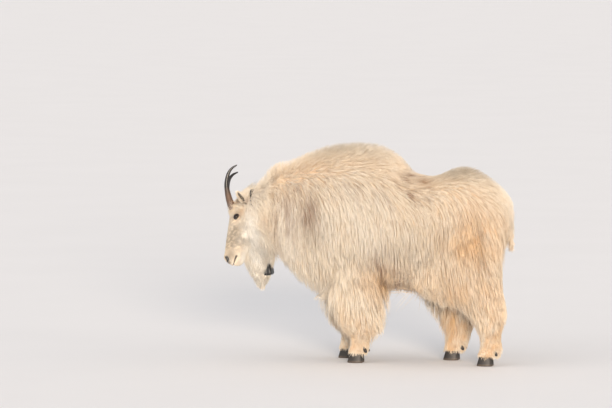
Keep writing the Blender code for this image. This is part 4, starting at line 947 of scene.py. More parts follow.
# %% Where tufts are rooted
def scatter(rings, count, draw, weight=1.0):
    """Even random roots on a loft: their places, and how far along and around they are, 0 to 1."""
    after = np.roll(rings, -1, axis=1)
    a, b, c, d = rings[:-1], after[:-1], after[1:], rings[1:]
    area = np.linalg.norm(np.cross(c - a, d - b), axis=-1) / 2 * weight
    heap = np.cumsum(area.ravel())
    cell = np.searchsorted(heap, (np.arange(count) + draw.random(count)) / count * heap[-1])
    cell = np.minimum(cell, heap.size - 1)
    i, j = np.divmod(cell, rings.shape[1])
    u, v = draw.random((2, count, 1))
    spots = (1 - u) * ((1 - v) * a[i, j] + v * b[i, j]) + u * ((1 - v) * d[i, j] + v * c[i, j])
    return spots, (i + u[:, 0]) / (len(rings) - 1), (j + v[:, 0]) / rings.shape[1]


def nearest(surface, points):
    """The nearest points of a surface, and its normals there."""
    found = [surface.find_nearest(p) for p in points.tolist()]
    return (np.array([f[0] for f in found]), np.array([f[1] for f in found]),
            np.array([f[3] for f in found]))


def reach(surface, points, ways, most):
    """How far each ray goes before it meets a surface."""
    found = [surface.ray_cast(p, w, most)[3] for p, w in zip(points.tolist(), ways.tolist())]
    return np.array([0.012 if f is None else f for f in found])


MARKS = np.array((0.0, 0.36, 0.70, 1.0))


def comb(roots, normals, lie, rise, shortest, longest, droop, lift, draw):
    """Paths that leave the skin along the lie of the coat, sag, and end at the outline."""
    lie = unit(lie - normals * (lie * normals).sum(-1, keepdims=True))
    depth = reach(tips, roots + normals * 0.001, normals, 0.30) + 0.004
    loose = draw.random(len(roots)) ** 2
    length = np.clip(depth / rise, shortest, longest)
    part = draw.choice((1.0, 0.85, 0.68), len(roots), p=(0.55, 0.27, 0.18))
    length = length * part * draw.uniform(0.88, 1.10, len(roots))
    depth = depth * part
    steep = np.clip(depth / length, 0.05, 0.97)[:, None]
    heading = lie * np.sqrt(1 - steep**2) + normals * steep
    outward = np.stack([np.zeros(len(roots)), np.sign(roots[:, 1]), np.zeros(len(roots))], -1)
    sideways = outward * 1.6 * np.maximum(0, steep - 0.35)
    paths, ups = [roots - normals * 0.004], [normals + sideways]
    place = roots
    for before, mark in zip(MARKS, MARKS[1:]):
        stride = mark - before
        heading = unit(heading - np.array((0, 0, 1.0)) * (droop * stride)[:, None])
        place = place + heading * (length * stride)[:, None]
        near, up, _ = nearest(hide, place)
        want = np.maximum(lift * depth * mark**0.8, 0.004)
        above = ((place - near) * up).sum(-1)
        same = (up * normals).sum(-1) > 0.2
        push = np.where(same & (above < want), want - above, 0.0)
        place = place + up * np.minimum(push, 0.05)[:, None]
        edge, out, _ = nearest(tips, place)
        over = ((place - edge) * out).sum(-1) - loose * (0.010 + 0.026 * np.clip(-out[:, 2], 0, 1))
        place = place - out * (np.clip(over, 0, 0.08) * 0.85)[:, None]
        paths.append(place)
        ups.append(up + sideways)
    return np.stack(paths, 1), np.stack(ups, 1)


def gather(paths, spacing, pull, draw):
    """Draw neighbouring tufts together towards their tips, as damp or waxy hair does."""
    count = len(paths)
    guides = draw.choice(count, max(count // spacing, 1), replace=False)
    tree = KDTree(len(guides))
    for n, guide in enumerate(guides):
        tree.insert(paths[guide, 0], n)
    tree.balance()
    own = np.array([tree.find(p)[1] for p in paths[:, 0].tolist()])
    strength = (pull * draw.uniform(0.5, 1.2, count))[:, None, None] * (MARKS**1.3)[None, :, None]
    aim = paths[guides[own]]
    moved = paths + (aim - paths) * np.clip(strength, 0, 0.95)
    far = np.linalg.norm(aim[:, -1] - paths[:, -1], axis=-1) > 0.09
    moved[far] = paths[far]
    return moved, own


print("a tuft of 3 rings has", 2 * 6 + 4, "triangles")

# %% [markdown]
# ## The long coat
# On the crest of the hump the hair stands half upright and reads as velvet. Down the sides it
# lies flatter, grows longer and hangs to a fringe along chest and flank, and under the belly
# it is short again. Rise, length, sag and clinging are therefore read from small tables by
# the angle round the trunk.

# %% Comb the trunk
THIN = 1.0
draw = np.random.default_rng(7)

# angle from the crest, then rise, shortest, longest, sag, clinging, breadth
TRUNK_COMB = np.array([
    (0, 0.80, 0.070, 0.125, 0.00, 0.00, 0.72),
    (28, 0.56, 0.080, 0.130, 0.05, 0.02, 0.80),
    (45, 0.40, 0.095, 0.140, 0.15, 0.06, 0.88),
    (62, 0.28, 0.110, 0.155, 0.35, 0.12, 0.92),
    (95, 0.22, 0.130, 0.180, 0.50, 0.20, 0.95),
    (124, 0.30, 0.150, 0.220, 0.90, 0.40, 1.00),
    (152, 0.50, 0.110, 0.170, 1.20, 0.50, 1.00),
    (180, 0.62, 0.060, 0.095, 1.30, 0.40, 1.00),
])


def coat_chance(own, count, draw):
    """Chance values of each tuft: its own, its clump's, and one more."""
    clump = draw.random(own.max() + 1)[own]
    return np.stack([draw.random(count) * 0.6 + clump * 0.4, clump, draw.random(count)], -1)


def dress(part, lie_of, comb_of, count, width, spacing, weight=1.0):
    """Grow the tufts of one part of the body. Returns all that tuft_mesh needs."""
    rings = parts[part][0]
    if part == "trunk":  # hair on its rounded end, under the tail, too
        middle = rings[-1].mean(0)
        rings = np.concatenate([rings, [middle + (rings[-1] - middle) * s for s in (0.7, 0.4, 0.05)]])
    roots, along, around = scatter(rings, int(count * THIN), draw, weight)
    spots, normals, away = nearest(hide, roots)
    near_skin = away < np.where(roots[:, 0] > 0.66, 0.025, 0.010)
    good = near_skin & (((roots - spots) * normals).sum(-1) > -0.012)
    roots, along, around, normals = spots[good], along[good], around[good], normals[good]
    rise, shortest, longest, droop, cling, breadth = comb_of(roots, along, around)
    lie = lie_of(roots, around)
    if part.startswith("fringe"):  # only where the fold is steep, so no strand lies across
        rise = np.where(np.abs(normals[:, 2]) < 0.7, rise, 0.05)
        shortest, longest = (np.where(rise > 0.05, v, 0.03) for v in (shortest, longest))
    sway = noise(roots, 0.18, 3) * 0.10 + noise(roots, 0.04, 4) * 0.05
    sway = sway + draw.normal(0, 0.05, len(roots))
    lie = unit(lie) + unit(np.cross(lie, normals)) * sway[:, None]
    paths, ups = comb(roots, normals, lie, rise, shortest, longest, droop, 0.95, draw)
    paths, _ = gather(paths, spacing * 12, 0.4 * cling, draw)
    paths, own = gather(paths, spacing, cling, draw)
    wide = width * breadth * draw.uniform(0.7, 1.3, len(paths)) / math.sqrt(THIN)
    chance = coat_chance(own, len(paths), draw)
    return paths, ups, wide, wide * 0.34, chance, np.stack([along, around], -1)


def crest_angle(around):
    """Degrees from the crest, 0 to 180, for a place around a trunk ring."""
    return np.abs((around * 360 - 90 + 180) % 360 - 180)


def trunk_lie(roots, around):
    """Straight back along the crest, down the sides."""
    top = np.maximum(0, np.cos(np.radians(crest_angle(around)))) ** 1.5
    return np.stack([0.10 + 1.2 * top, np.zeros(len(roots)), 0.95 * top - 1], -1)


def trunk_comb(roots, along, around):
    """From the table, but behind the rump all hair lies down as on the sides."""
    angle = np.maximum(crest_angle(around), np.interp(roots[:, 0], (0.54, 0.66), (0, 85)))
    return [np.interp(angle, TRUNK_COMB[:, 0], TRUNK_COMB[:, k]) for k in range(1, 7)]


BLADE = (0.60, 1.0, 0.66)
# For each part how many tufts, how wide they are and how many cling together
TUFTS = {
    "trunk": (43500, 0.0022, 4), "front leg": (6800, 0.0023, 4), "hind leg": (7400, 0.0023, 4),
    "ruff": (11000, 0.0025, 6), "tail": (1500, 0.0022, 8), "fringe": (2400, 0.0022, 6),
    "mane": (3600, 0.0020, 6),
}
ring = crest_angle((np.arange(56) + 0.5) / 56)
trunk_x = np.append(spread(TRUNK, 64)[:-1], (0.67, 0.67, 0.67))[:, None]
dense = np.where(trunk_x < -0.50, 1.5, 1.0) * (1 + 0.9 * np.exp(-((ring - 25) / 35) ** 2))
trunk = dress("trunk", trunk_lie, trunk_comb, *TUFTS["trunk"], dense)
print("trunk tufts:", len(trunk[0]))

# %% Comb the legs, ruff and tail
LEG_COMB = np.array([  # height, then rise, shortest, longest, sag, clinging, breadth
    (0.046, 0.32, 0.024, 0.030, 0.05, 0.10, 0.80),
    (0.080, 0.32, 0.036, 0.048, 0.10, 0.15, 0.85),
    (0.120, 0.32, 0.050, 0.068, 0.20, 0.20, 0.90),
    (0.160, 0.34, 0.065, 0.095, 0.35, 0.24, 0.95),
    (0.220, 0.36, 0.090, 0.140, 0.50, 0.32, 1.00),
    (0.300, 0.36, 0.120, 0.190, 0.65, 0.36, 1.00),
    (0.450, 0.28, 0.140, 0.210, 0.75, 0.32, 1.00),
])


def leg_comb(roots, along, around):
    """Long on the pantaloons, then shorter down to the hoof."""
    return [np.interp(roots[:, 2], LEG_COMB[:, 0], LEG_COMB[:, k]) for k in range(1, 7)]


def leg_lie(roots, around):
    sweep = 0.10 + 0.28 * np.clip((roots[:, 2] - 0.2) / 0.2, 0, 1)
    return np.stack([sweep, np.zeros(len(roots)), -np.ones(len(roots))], -1)


def ruff_comb(roots, along, around):
    n = len(roots)
    low = np.clip((0.62 - roots[:, 2]) / 0.16, 0, 1)
    return (0.27 * np.ones(n), 0.090 + 0.03 * low, 0.125 + 0.045 * low, 0.5 * np.ones(n),
            0.16 + 0.34 * low, np.ones(n))


def hanging(roots, around):
    return np.tile(np.array((0.10, 0.0, -1.0)), (len(roots), 1))


def ruff_lie(roots, around):
    """Back and down from the cheek, then straight down in the beard."""
    back = 0.22 + 0.50 * np.clip((roots[:, 2] - 0.56) / 0.10, 0, 1)
    return np.stack([back, np.zeros(len(roots)), -np.ones(len(roots))], -1)


def mane_lie(roots, around):
    """Back over the collar at the nape, more and more down at the sides."""
    down = np.interp(crest_angle(around), (0, 40, 90), (0.0, 0.5, 1.3))
    return np.stack([np.ones(len(roots)), np.zeros(len(roots)), -down], -1)


def mane_comb(roots, along, around):
    return [value * np.ones(len(roots)) for value in (0.42, 0.085, 0.130, 0.35, 0.15, 1.0)]


def tail_lie(roots, around):
    return np.tile(np.array((-0.40, 0.0, -1.0)), (len(roots), 1))


def tail_comb(roots, along, around):
    n = len(roots)
    return [value * np.ones(n) for value in (0.16, 0.038, 0.058, 0.4, 0.2, 1.0)]


def fringe_comb(roots, along, around):
    """Flat at the top of the fold, then long strands that hang free below it."""
    free = np.clip((0.42 - roots[:, 2]) / 0.08, 0, 1)
    return (0.10 + 0.15 * free, 0.09 + 0.01 * free, 0.12 + 0.04 * free, 0.2 + 1.1 * free,
            0.30 * np.ones(len(roots)), np.ones(len(roots)))


def leg_weight(leg):
    """Closer together towards the hoof, where the hair is short."""
    return np.interp(spread(LEGS[leg][0], 44)[:-1], (0.06, 0.16, 0.30), (3.2, 2.2, 1.0))[:, None]


front = [dress(leg, leg_lie, leg_comb, *TUFTS["front leg"], leg_weight(leg))
         for leg in ("front_left", "front_right")]
hind = [dress(leg, leg_lie, leg_comb, *TUFTS["hind leg"], leg_weight(leg))
        for leg in ("hind_left", "hind_right")]
ruff = dress("ruff", ruff_lie, ruff_comb, *TUFTS["ruff"])
tail = dress("tail", tail_lie, tail_comb, *TUFTS["tail"])
below_fold = spread(FLANK_FRINGE, 24)[:-1, None] < 0.48
fringe = [dress("fringe_" + side, hanging, fringe_comb, *TUFTS["fringe"], below_fold + 1e-6)
          for side in FRINGES]
at_nape = (trunk_x < -0.515) * (ring < 125)
mane = dress("trunk", mane_lie, mane_comb, *TUFTS["mane"], at_nape + 1e-6)
print("leg tufts:", [len(d[0]) for d in front + hind], "ruff:", len(ruff[0]), "tail:", len(tail[0]))

# %% Coat pieces, each small enough to export whole
coat_pieces = []


def coat_piece(name, tufts, keep, unrolled):
    """One piece of the long coat from the tufts that keep picks."""
    paths, ups, wide, ridge, chance, _ = tufts
    made = tuft_mesh(name, paths[keep], ups[keep], wide[keep], ridge[keep], BLADE,
                     chance[keep], long_hair, 0.01 + 0.98 * unrolled[keep])
    coat_pieces.append(made)
    print(name, "tufts:", int(keep.sum()))


TRUNK_PIECES = [
    ("coat_neck", -0.70, -0.34, 0), ("coat_shoulder_left", -0.34, -0.02, -1),
    ("coat_shoulder_right", -0.34, -0.02, 1), ("coat_flank_left", -0.02, 0.34, -1),
    ("coat_flank_right", -0.02, 0.34, 1), ("coat_rump", 0.34, 0.90, 0),
]
for name, low, high, side in TRUNK_PIECES:
    root = trunk[0][:, 0]
    keep = (root[:, 0] >= low) & (root[:, 0] < high)
    if side:
        keep &= root[:, 1] * side > 0
    across = trunk[5][:, 1]
    inside = np.clip((root[:, 0] - low) / (min(high, 0.74) - max(low, -0.62)), 0, 1)
    if side:
        across = (across * 2 + 0.5) % 1.0
    coat_piece(name, trunk, keep, np.stack([inside, across], -1))


def joined(groups):
    """Several dressed parts as one, side by side on the unrolled map."""
    count = len(groups)
    maps = [np.stack([(g[5][:, 1] + n) / count, g[5][:, 0]], -1) for n, g in enumerate(groups)]
    return [np.concatenate([g[k] for g in groups]) for k in range(5)] + [np.concatenate(maps)]


for name, groups in (("coat_front_legs", front), ("coat_hind_legs", hind), ("coat_beard", [ruff]),
                     ("coat_flank_fringe", fringe), ("coat_mane", [mane]), ("coat_tail", [tail])):
    whole = joined(groups)
    coat_piece(name, whole, np.ones(len(whole[0]), bool), whole[5])

# %% [markdown]
# ## The face's short coat
# The hair of the face is only 5 to 25 mm long, and longer where it passes into ruff and nape.
# It lies flat, runs from the brow down to the nose, and turns down and back over the cheek.
# Nostrils and lips are bare.

# %% Comb the face
def head_loft_normals(rings):
    along = np.gradient(rings, axis=0)
    around = (np.roll(rings, -1, 1) - np.roll(rings, 1, 1))
    return unit(np.cross(around, along))


def face_tufts(count):
    """All tufts of the face, as tuft_mesh needs them."""
    roots, along, around = scatter(face_rings, int(count * THIN), draw)
    rows = np.minimum((along * (len(face_rings) - 1)).astype(int), len(face_rings) - 1)
    cols = (around * face_rings.shape[1]).astype(int) % face_rings.shape[1]
    normals = head_loft_normals(face_rings)[rows, cols]
    centre = np.stack([roots[:, 0], np.zeros(len(roots)), np.zeros(len(roots))], -1)
    normals *= np.sign(((roots - centre) * normals).sum(-1, keepdims=True) + 1e-9)
    # Roots that lie inside the ball of the lids move out to the lids
    for side in (1, -1):
        from_eye = roots - EYE * np.array((1, side, 1))
        far = np.linalg.norm(from_eye, axis=-1, keepdims=True)
        inside = far < EYE_RADIUS + 0.0026
        normals = np.where(inside, from_eye / far, normals)
        roots = np.where(inside, roots + from_eye / far * (EYE_RADIUS + 0.0026 - far), roots)
    x, y, z = roots.T
    mirror = left_side(roots)
    to_eye = (mirror - EYE) - ((mirror - EYE) * EYE_AIM).sum(-1, keepdims=True) * EYE_AIM
    eye_away = np.linalg.norm(to_eye / np.array((1.28, 1.0, 1.0)), axis=-1)
    lips = (x > MOUTH_CORNER) & (np.abs(z - mouth_level(x)) < 0.0055)
    bare = (nostril(roots, 1.35) > 0.25) | lips | ((eye_away < 0.0118) & (mirror[:, 1] > 0.025))
    bare |= (x > 0.328) & (np.abs(z - 0.014) < 0.015)
    keep = ~bare & (x > -0.004)
    roots, normals, x, z, y = roots[keep], normals[keep], x[keep], z[keep], y[keep]
    along, around, mirror, to_eye = along[keep], around[keep], mirror[keep], to_eye[keep]
    eye_away = eye_away[keep]
    cheek = np.clip((0.20 - x) / 0.10, 0, 1) * np.clip((0.01 - z) / 0.05, 0, 1)
    poll = np.clip((0.075 - x) / 0.06, 0, 1)
    length = np.interp(x, (0.0, 0.05, 0.10, 0.20, 0.28, 0.34),
                       (0.046, 0.026, 0.015, 0.012, 0.0085, 0.0055))
    chin = np.clip((x - 0.22) / 0.05, 0, 1) * np.clip((-0.025 - z) / 0.02, 0, 1)
    jaw = np.clip((0.235 - x) / 0.10, 0, 1) * np.clip((0.012 - z) / 0.03, 0, 1)
    nape = np.clip((0.040 - x) / 0.03, 0, 1) * np.clip((0.105 - z) / 0.02, 0, 1)
    length = length + cheek * 0.012 + jaw * 0.045 + chin * 0.010 + nape * 0.058
    length *= np.where(eye_away < 0.024, 0.55, 1.0) * draw.uniform(0.75, 1.2, len(x))
    rise = 0.18 + 0.05 * cheek + 0.14 * jaw + 0.24 * poll * (1 - nape) + 0.2 * chin + 0.1 * nape
    lie = np.stack([1.0 - 2.2 * nape, 0.15 * np.sign(y) * np.ones(len(x)),
                    -0.15 - 0.6 * cheek - 0.6 * jaw - 1.0 * nape], -1)
    flip = np.stack([np.ones(len(x)), np.sign(y), np.ones(len(x))], -1)
    from_lids = to_eye / (eye_away[:, None] + 1e-6) * np.exp(-(eye_away / 0.024) ** 2)[:, None]
    lie += from_lids * flip * 0.8
    lie = lie - normals * (lie * normals).sum(-1, keepdims=True)
    sway = draw.normal(0, 0.22, len(x)) + 0.25 * noise(roots, 0.03, 8)
    lie = unit(unit(lie) + np.cross(unit(lie), normals) * sway[:, None])
    paths = [roots - normals * 0.0008]
    for share in (0.5, 1.0):
        lifted = normals * (rise * length * share ** 0.7)[:, None]
        paths.append(roots + lie * (length * share)[:, None] + lifted)
    paths = np.stack([placed(p) for p in paths], 1)
    ups = np.repeat(turned(normals)[:, None], 3, 1)
    wide = (0.0010 + 0.026 * length) * draw.uniform(0.8, 1.25, len(x)) / math.sqrt(THIN)
    chance = draw.random((len(x), 3))
    return paths, ups, wide, wide * 0.35, chance, np.stack([along, around], -1)


face = face_tufts(24000)
turn = (face[5][:, 1] + 0.25) % 1.0  # the left half is the first
for word, keep, start in (("left", turn < 0.5, 0.0), ("right", turn >= 0.5, 0.5)):
    paths, ups, wide, ridge, chance = (values[keep] for values in face[:5])
    flat = np.stack([face[5][keep, 0], (turn[keep] - start) * 2], -1)
    coat_pieces.append(tuft_mesh("coat_face_" + word, paths, ups, wide, ridge, (0.8, 1.0), chance,
                                 face_hair, 0.01 + 0.98 * flat))
print("face tufts:", len(face[0]))

# %% [markdown]
# ## Ears
# The ears are leaf-shaped shells, 9 cm long, that point out and back. Their hollow is nearly
# bare and painted dark, for its skin and for the shade in the cup, and cream hair stands along
# the rims and covers the back.

# %% Ear shells and their hair
EAR_SHAPE = [
    (0.00, 0.50, 0.10), (0.12, 0.62, 0.45), (0.28, 0.88, 0.72), (0.45, 1.00, 0.75),
    (0.62, 0.92, 0.62), (0.78, 0.70, 0.45), (0.91, 0.38, 0.25), (1.00, 0.10, 0.05),
]


EAR_ALONG = unit(EAR_TIP - EAR_ROOT)
EAR_FACING = np.array((0.75, 0.30, 0.25))
EAR_FACING = unit(EAR_FACING - EAR_ALONG * (EAR_FACING @ EAR_ALONG))


def ear_rings(count, arc):
    """Closed rings of an ear: over its back, then back through its hollow."""
    t = np.linspace(0, 1, count)
    width, hollow = read_table(EAR_SHAPE, t).T
    across = np.cross(EAR_ALONG, EAR_FACING)
    half = 0.0165 * width
    inner = np.maximum(half - 0.0022, half * 0.3)
    depth = np.maximum(half * 0.95 - 0.0022, half * 0.28) * hollow
    turn = np.linspace(0, np.pi, arc)
    outer = (half[:, None] * np.cos(turn))[..., None] * across \
        - (half[:, None] * 0.93 * np.sin(turn))[..., None] * EAR_FACING
    turn = turn[-2:0:-1]
    within = (inner[:, None] * np.cos(turn))[..., None] * across \
        - (depth[:, None] * np.sin(turn))[..., None] * EAR_FACING
    centre = EAR_ROOT + (EAR_TIP - EAR_ROOT) * t[:, None] * 0.97
    return centre[:, None] + np.concatenate([outer, within], 1)


def ear_tufts(rings, arc, side, count):
    """Short hair over the back, longer hair along both rims and at the root."""
    roots, t, around = scatter(rings, int(count * THIN), draw)
    cell = around * rings.shape[1]
    outside = cell < arc - 1
    rim = np.minimum(np.abs(cell), np.abs(cell - (arc - 1)))
    keep = outside | ((rim < 2.5) & (draw.random(len(roots)) < 0.7))
    roots, t, outside, rim = roots[keep], t[keep], outside[keep], rim[keep]
    around = around[keep]
    centre = EAR_ROOT + (EAR_TIP - EAR_ROOT) * t[:, None]
    normals = unit(roots - centre + 1e-9)
    normals = np.where(outside[:, None], normals, unit(EAR_FACING + normals * 0.3))
    edge = np.exp(-((rim / 2.2) ** 2))
    length = (0.011 + 0.007 * edge + 0.016 * (1 - t) ** 2) * draw.uniform(0.7, 1.25, len(t))
    lie = unit(EAR_ALONG + EAR_FACING * (0.10 * edge)[:, None] + draw.normal(0, 0.14, (len(t), 3)))
    rise = 0.22 + 0.1 * edge
    paths = [roots - normals * 0.0006]
    for share in (0.5, 1.0):
        paths.append(roots + lie * (length * share)[:, None]
                     + normals * (rise * length * share ** 0.7)[:, None])
    flip = np.array((1, side, 1))
    paths = np.stack([placed(p * flip) for p in paths], 1)
    ups = np.repeat(turned(normals * flip)[:, None], 3, 1)
    wide = 0.0016 * draw.uniform(0.8, 1.3, len(t)) / math.sqrt(THIN)
    return paths, ups, wide, wide * 0.35, draw.random((len(t), 3)), np.stack([around, t], -1)


ears = []
for side, word in SIDES:
    rings = ear_rings(40, 20)
    points, faces = tube(rings)
    ear = face_out(add_mesh("ear_shell_" + word, placed(points * np.array((1, side, 1))), faces))
    ears.append(ear)
    paths, ups, wide, ridge, chance, unrolled = ear_tufts(rings, 20, side, 3600)
    piece = tuft_mesh("coat_ear_" + word, paths, ups, wide, ridge, (0.8, 1.0), chance, face_hair,
                      0.01 + 0.98 * unrolled)
    coat_pieces.append(piece)
    print(piece.name, "tufts:", len(paths))

# %% [markdown]
# ## Finish of the hide
# Where it is haired the hide takes the hair's own colours, darker, as wool in shade. Nostrils,
# lips and the edges of the lids are bare black skin, slightly moist and finely pebbled, so
# they shine a little more. A mask written on the skin tells the two apart.

# %% Paint masks on the skin and give it a finish
def points_of(mesh):
    points = np.empty(len(mesh.vertices) * 3, np.float32)
    mesh.vertices.foreach_get("co", points)
    return points.reshape(-1, 3).astype(float)


def bare_mask(points):
    """Where the skin of the head is bare and black, from its place in the head's frame."""
    own = in_head(points)
    x, z = own[:, 0], own[:, 2]
    mirror = left_side(own)
    pit = np.clip(nostril(own, 1.35) * 3.0, 0, 1)
    lips = np.exp(-((z - mouth_level(x)) / np.interp(x, (0.30, 0.33), (0.0062, 0.0030))) ** 4)
    lips = lips * np.clip((x - MOUTH_CORNER) / 0.006, 0, 1)
    pad = np.exp(-(((x - 0.336) / 0.012) ** 2 + ((z - 0.016) / 0.017) ** 2)) * (x > 0.30)
    away = mirror - EYE
    ring = np.linalg.norm(away, axis=-1)
    lid = (ring < EYE_RADIUS + 0.0036) & (away @ EYE_AIM > 0.002)
    slant = unit(np.array((1.0, 0.0, 0.60)))  # the dark rim is long towards tear duct and ear
    level = away - (away @ EYE_AIM)[:, None] * EYE_AIM
    long_way = (level @ slant) * 0.88
    short_way = np.linalg.norm(level - (level @ slant)[:, None] * slant, axis=-1) * 1.16
    flat = np.hypot(long_way, short_way)
    rim = lid * np.clip((0.0165 - flat) / 0.0025, 0, 1) * 0.97
    near = (np.abs(x - 0.17) < 0.18) & (np.abs(own[:, 1]) < 0.10) & (np.abs(z) < 0.12)
    return np.clip(np.maximum.reduce([pit, lips * 0.95, pad * 0.8, rim]), 0, 1) * near


body = points_of(skin.data)
write_colour(skin.data, "marks", marks_at(body))
bare = bare_mask(body)
own = np.zeros((len(body), 4))
own[:, 0] = 0.20
own[:, 1] = 0.5
own[:, 2] = bare
write_colour(skin.data, "tuft", own)

hide_finish = hair_finish("felted underwool and bare nose", 0.72)
tree = hide_finish.node_tree
shader = tree.nodes["Principled BSDF"]
mask = node(tree, "ShaderNodeSeparateColor",
            {0: node(tree, "ShaderNodeAttribute", attribute_name="tuft").outputs["Color"]})
wool = shader.inputs["Base Color"].links[0].from_socket
colour = node(tree, "ShaderNodeMix", {0: mask.outputs[2], 6: wool, 7: linear("#0D0A09")},
              data_type="RGBA")
tree.links.new(colour.outputs[2], shader.inputs["Base Color"])
gloss = node(tree, "ShaderNodeMapRange", {0: mask.outputs[2], 3: 0.75, 4: 0.46})
tree.links.new(gloss.outputs[0], shader.inputs["Roughness"])
place = node(tree, "ShaderNodeTexCoord")
pebble = node(tree, "ShaderNodeTexVoronoi", {"Vector": place.outputs["Object"], "Scale": 520.0})
bump = node(tree, "ShaderNodeBump", {"Height": pebble.outputs["Distance"], "Strength": 0.35,
                                     "Distance": 0.0006})
tree.links.new(bump.outputs[0], shader.inputs["Normal"])
skin.data.materials.clear()
skin.data.materials.append(hide_finish)
for ear in ears:
    shell = points_of(ear.data)
    write_colour(ear.data, "marks", marks_at(shell))
    own = np.zeros((len(shell), 4))
    own[:, 0] = 0.3
    # the hollow painted dark: partly its bare skin, partly painted shade in the cup
    hollow = (left_side(in_head(shell)) - EAR_ROOT) @ EAR_FACING
    own[:, 2] = np.clip((hollow + 0.019) / 0.008, 0, 1) * 0.9
    write_colour(ear.data, "tuft", own)
    ear.data.materials.append(hide_finish)
print("bare points:", int((bare > 0.5).sum()))

# %% [markdown]
# ## Eyes
# A goat's eye is a dark amber iris with a pupil like a flat bar, under a clear bulging cornea.
# From some metres it reads as nearly black with one sharp highlight, so gloss matters most.
# The ball knows its own directions by an attribute, and the material draws in them.

# %% Eyeballs
def eyeball(name, side):
    """A ball with a bulging cornea, which knows where it looks."""
    ball = sphere(name, (0, 0, 0), 1.0, 48)
    spots = unit(points_of(ball.data))
    aim = EYE_AIM * np.array((1, side, 1))
    forward = unit(np.array((1.0, 0.0, -0.25)) - aim * (np.array((1.0, 0.0, -0.25)) @ aim))
    rise = np.cross(forward, aim)
    facing = spots @ aim
    bulge = 0.0009 * np.clip((facing - 0.80) / 0.20, 0, 1) ** 0.8
    placed_spots = placed(EYE * np.array((1, side, 1)) + spots * (EYE_RADIUS + bulge)[:, None])
    ball.data.vertices.foreach_set("co", placed_spots.astype(np.float32).ravel())
    own = np.stack([spots @ forward, spots @ rise, facing, np.ones(len(spots))], -1)
    write_colour(ball.data, "gaze", own)
    ball.data.shade_smooth()
    return face_out(ball)


eye_finish, tree, shader = new_finish("wet eye", 0.04, 1.38, Coat_Weight=0.35, Coat_Roughness=0.02)
gaze = node(tree, "ShaderNodeAttribute", attribute_name="gaze")
flat = node(tree, "ShaderNodeVectorMath", {0: gaze.outputs["Vector"], 1: (1.0, 1.0, 0.0)},
            operation="MULTIPLY")
away = node(tree, "ShaderNodeVectorMath", {0: flat.outputs[0]}, operation="LENGTH")
slot_shape = node(tree, "ShaderNodeVectorMath", {0: gaze.outputs["Vector"], 1: (2.4, 6.0, 0.0)},
                  operation="MULTIPLY")
slot_away = node(tree, "ShaderNodeVectorMath", {0: slot_shape.outputs[0]}, operation="LENGTH")
fibres = node(tree, "ShaderNodeTexNoise", {"Vector": gaze.outputs["Vector"], "Scale": 14.0,
                                           "Detail": 3.0})
iris = node(tree, "ShaderNodeMix", {0: fibres.outputs["Fac"], 6: linear("#0E0805"),
                                    7: linear("#2A1A0D")}, data_type="RGBA")
limbus = node(tree, "ShaderNodeMapRange", {0: away.outputs["Value"], 1: 0.56, 2: 0.66})
ball_colour = node(tree, "ShaderNodeMix", {0: limbus.outputs[0], 6: iris.outputs[2],
                                           7: linear("#1A100B")}, data_type="RGBA")
pupil = node(tree, "ShaderNodeMapRange", {0: slot_away.outputs["Value"], 1: 0.9, 2: 1.1,
                                          3: 1.0, 4: 0.0})
ball_colour = node(tree, "ShaderNodeMix", {0: pupil.outputs[0], 6: ball_colour.outputs[2],
                                           7: linear("#040303")}, data_type="RGBA")
tree.links.new(ball_colour.outputs[2], shader.inputs["Base Color"])
eyes = []
for side, word in SIDES:
    ball = eyeball("eyeball_" + word, side)
    ball.data.materials.append(eye_finish)
    eyes.append(ball)
print("eyes:", len(eyes), "of", round(EYE_RADIUS * 2000), "mm")

# %% [markdown]
# ## Horns
# A mountain goat's horn is a slim black dagger of keratin over a bony core, with yearly rings
# that crowd at its base. It follows one curve, so Geometry Nodes make it: they take the curve,
# swell its radius in rings that fade along it, and sweep a slightly flat section. Keratin
# polishes with wear, so the tip is smoother and darker than the grey, scuffed base.

# %% The horn's finish
horn_finish, tree, shader = new_finish("horn keratin", 0.42, 1.55)
growth = node(tree, "ShaderNodeAttribute", attribute_name="growth")
place = node(tree, "ShaderNodeTexCoord")
cloud = node(tree, "ShaderNodeTexNoise", {"Vector": place.outputs["Object"], "Scale": 60.0,
                                          "Detail": 5.0})
shifted = node(tree, "ShaderNodeMath", {0: cloud.outputs["Fac"], 1: 0.16}, operation="MULTIPLY")
level = node(tree, "ShaderNodeMath", {0: growth.outputs["Fac"], 1: shifted.outputs[0]})
lower = node(tree, "ShaderNodeMapRange", {0: level.outputs[0], 1: 0.10, 2: 0.24})
upper = node(tree, "ShaderNodeMapRange", {0: level.outputs[0], 1: 0.34, 2: 0.56})
colour = node(tree, "ShaderNodeMix", {0: lower.outputs[0], 6: linear("#7D7066"),
                                      7: linear("#5C4535")}, data_type="RGBA")
colour = node(tree, "ShaderNodeMix", {0: upper.outputs[0], 6: colour.outputs[2],
                                      7: linear("#120E0C")}, data_type="RGBA")
tree.links.new(colour.outputs[2], shader.inputs["Base Color"])
rough = node(tree, "ShaderNodeMapRange", {0: level.outputs[0], 1: 0.1, 2: 0.8, 3: 0.58, 4: 0.30})
tree.links.new(rough.outputs[0], shader.inputs["Roughness"])
grain = node(tree, "ShaderNodeTexNoise", {"Vector": place.outputs["Object"], "Scale": 420.0})
bump = node(tree, "ShaderNodeBump", {"Height": grain.outputs["Fac"], "Strength": 0.25,
                                     "Distance": 0.0005})
tree.links.new(bump.outputs[0], shader.inputs["Normal"])
print("finish:", horn_finish.name)

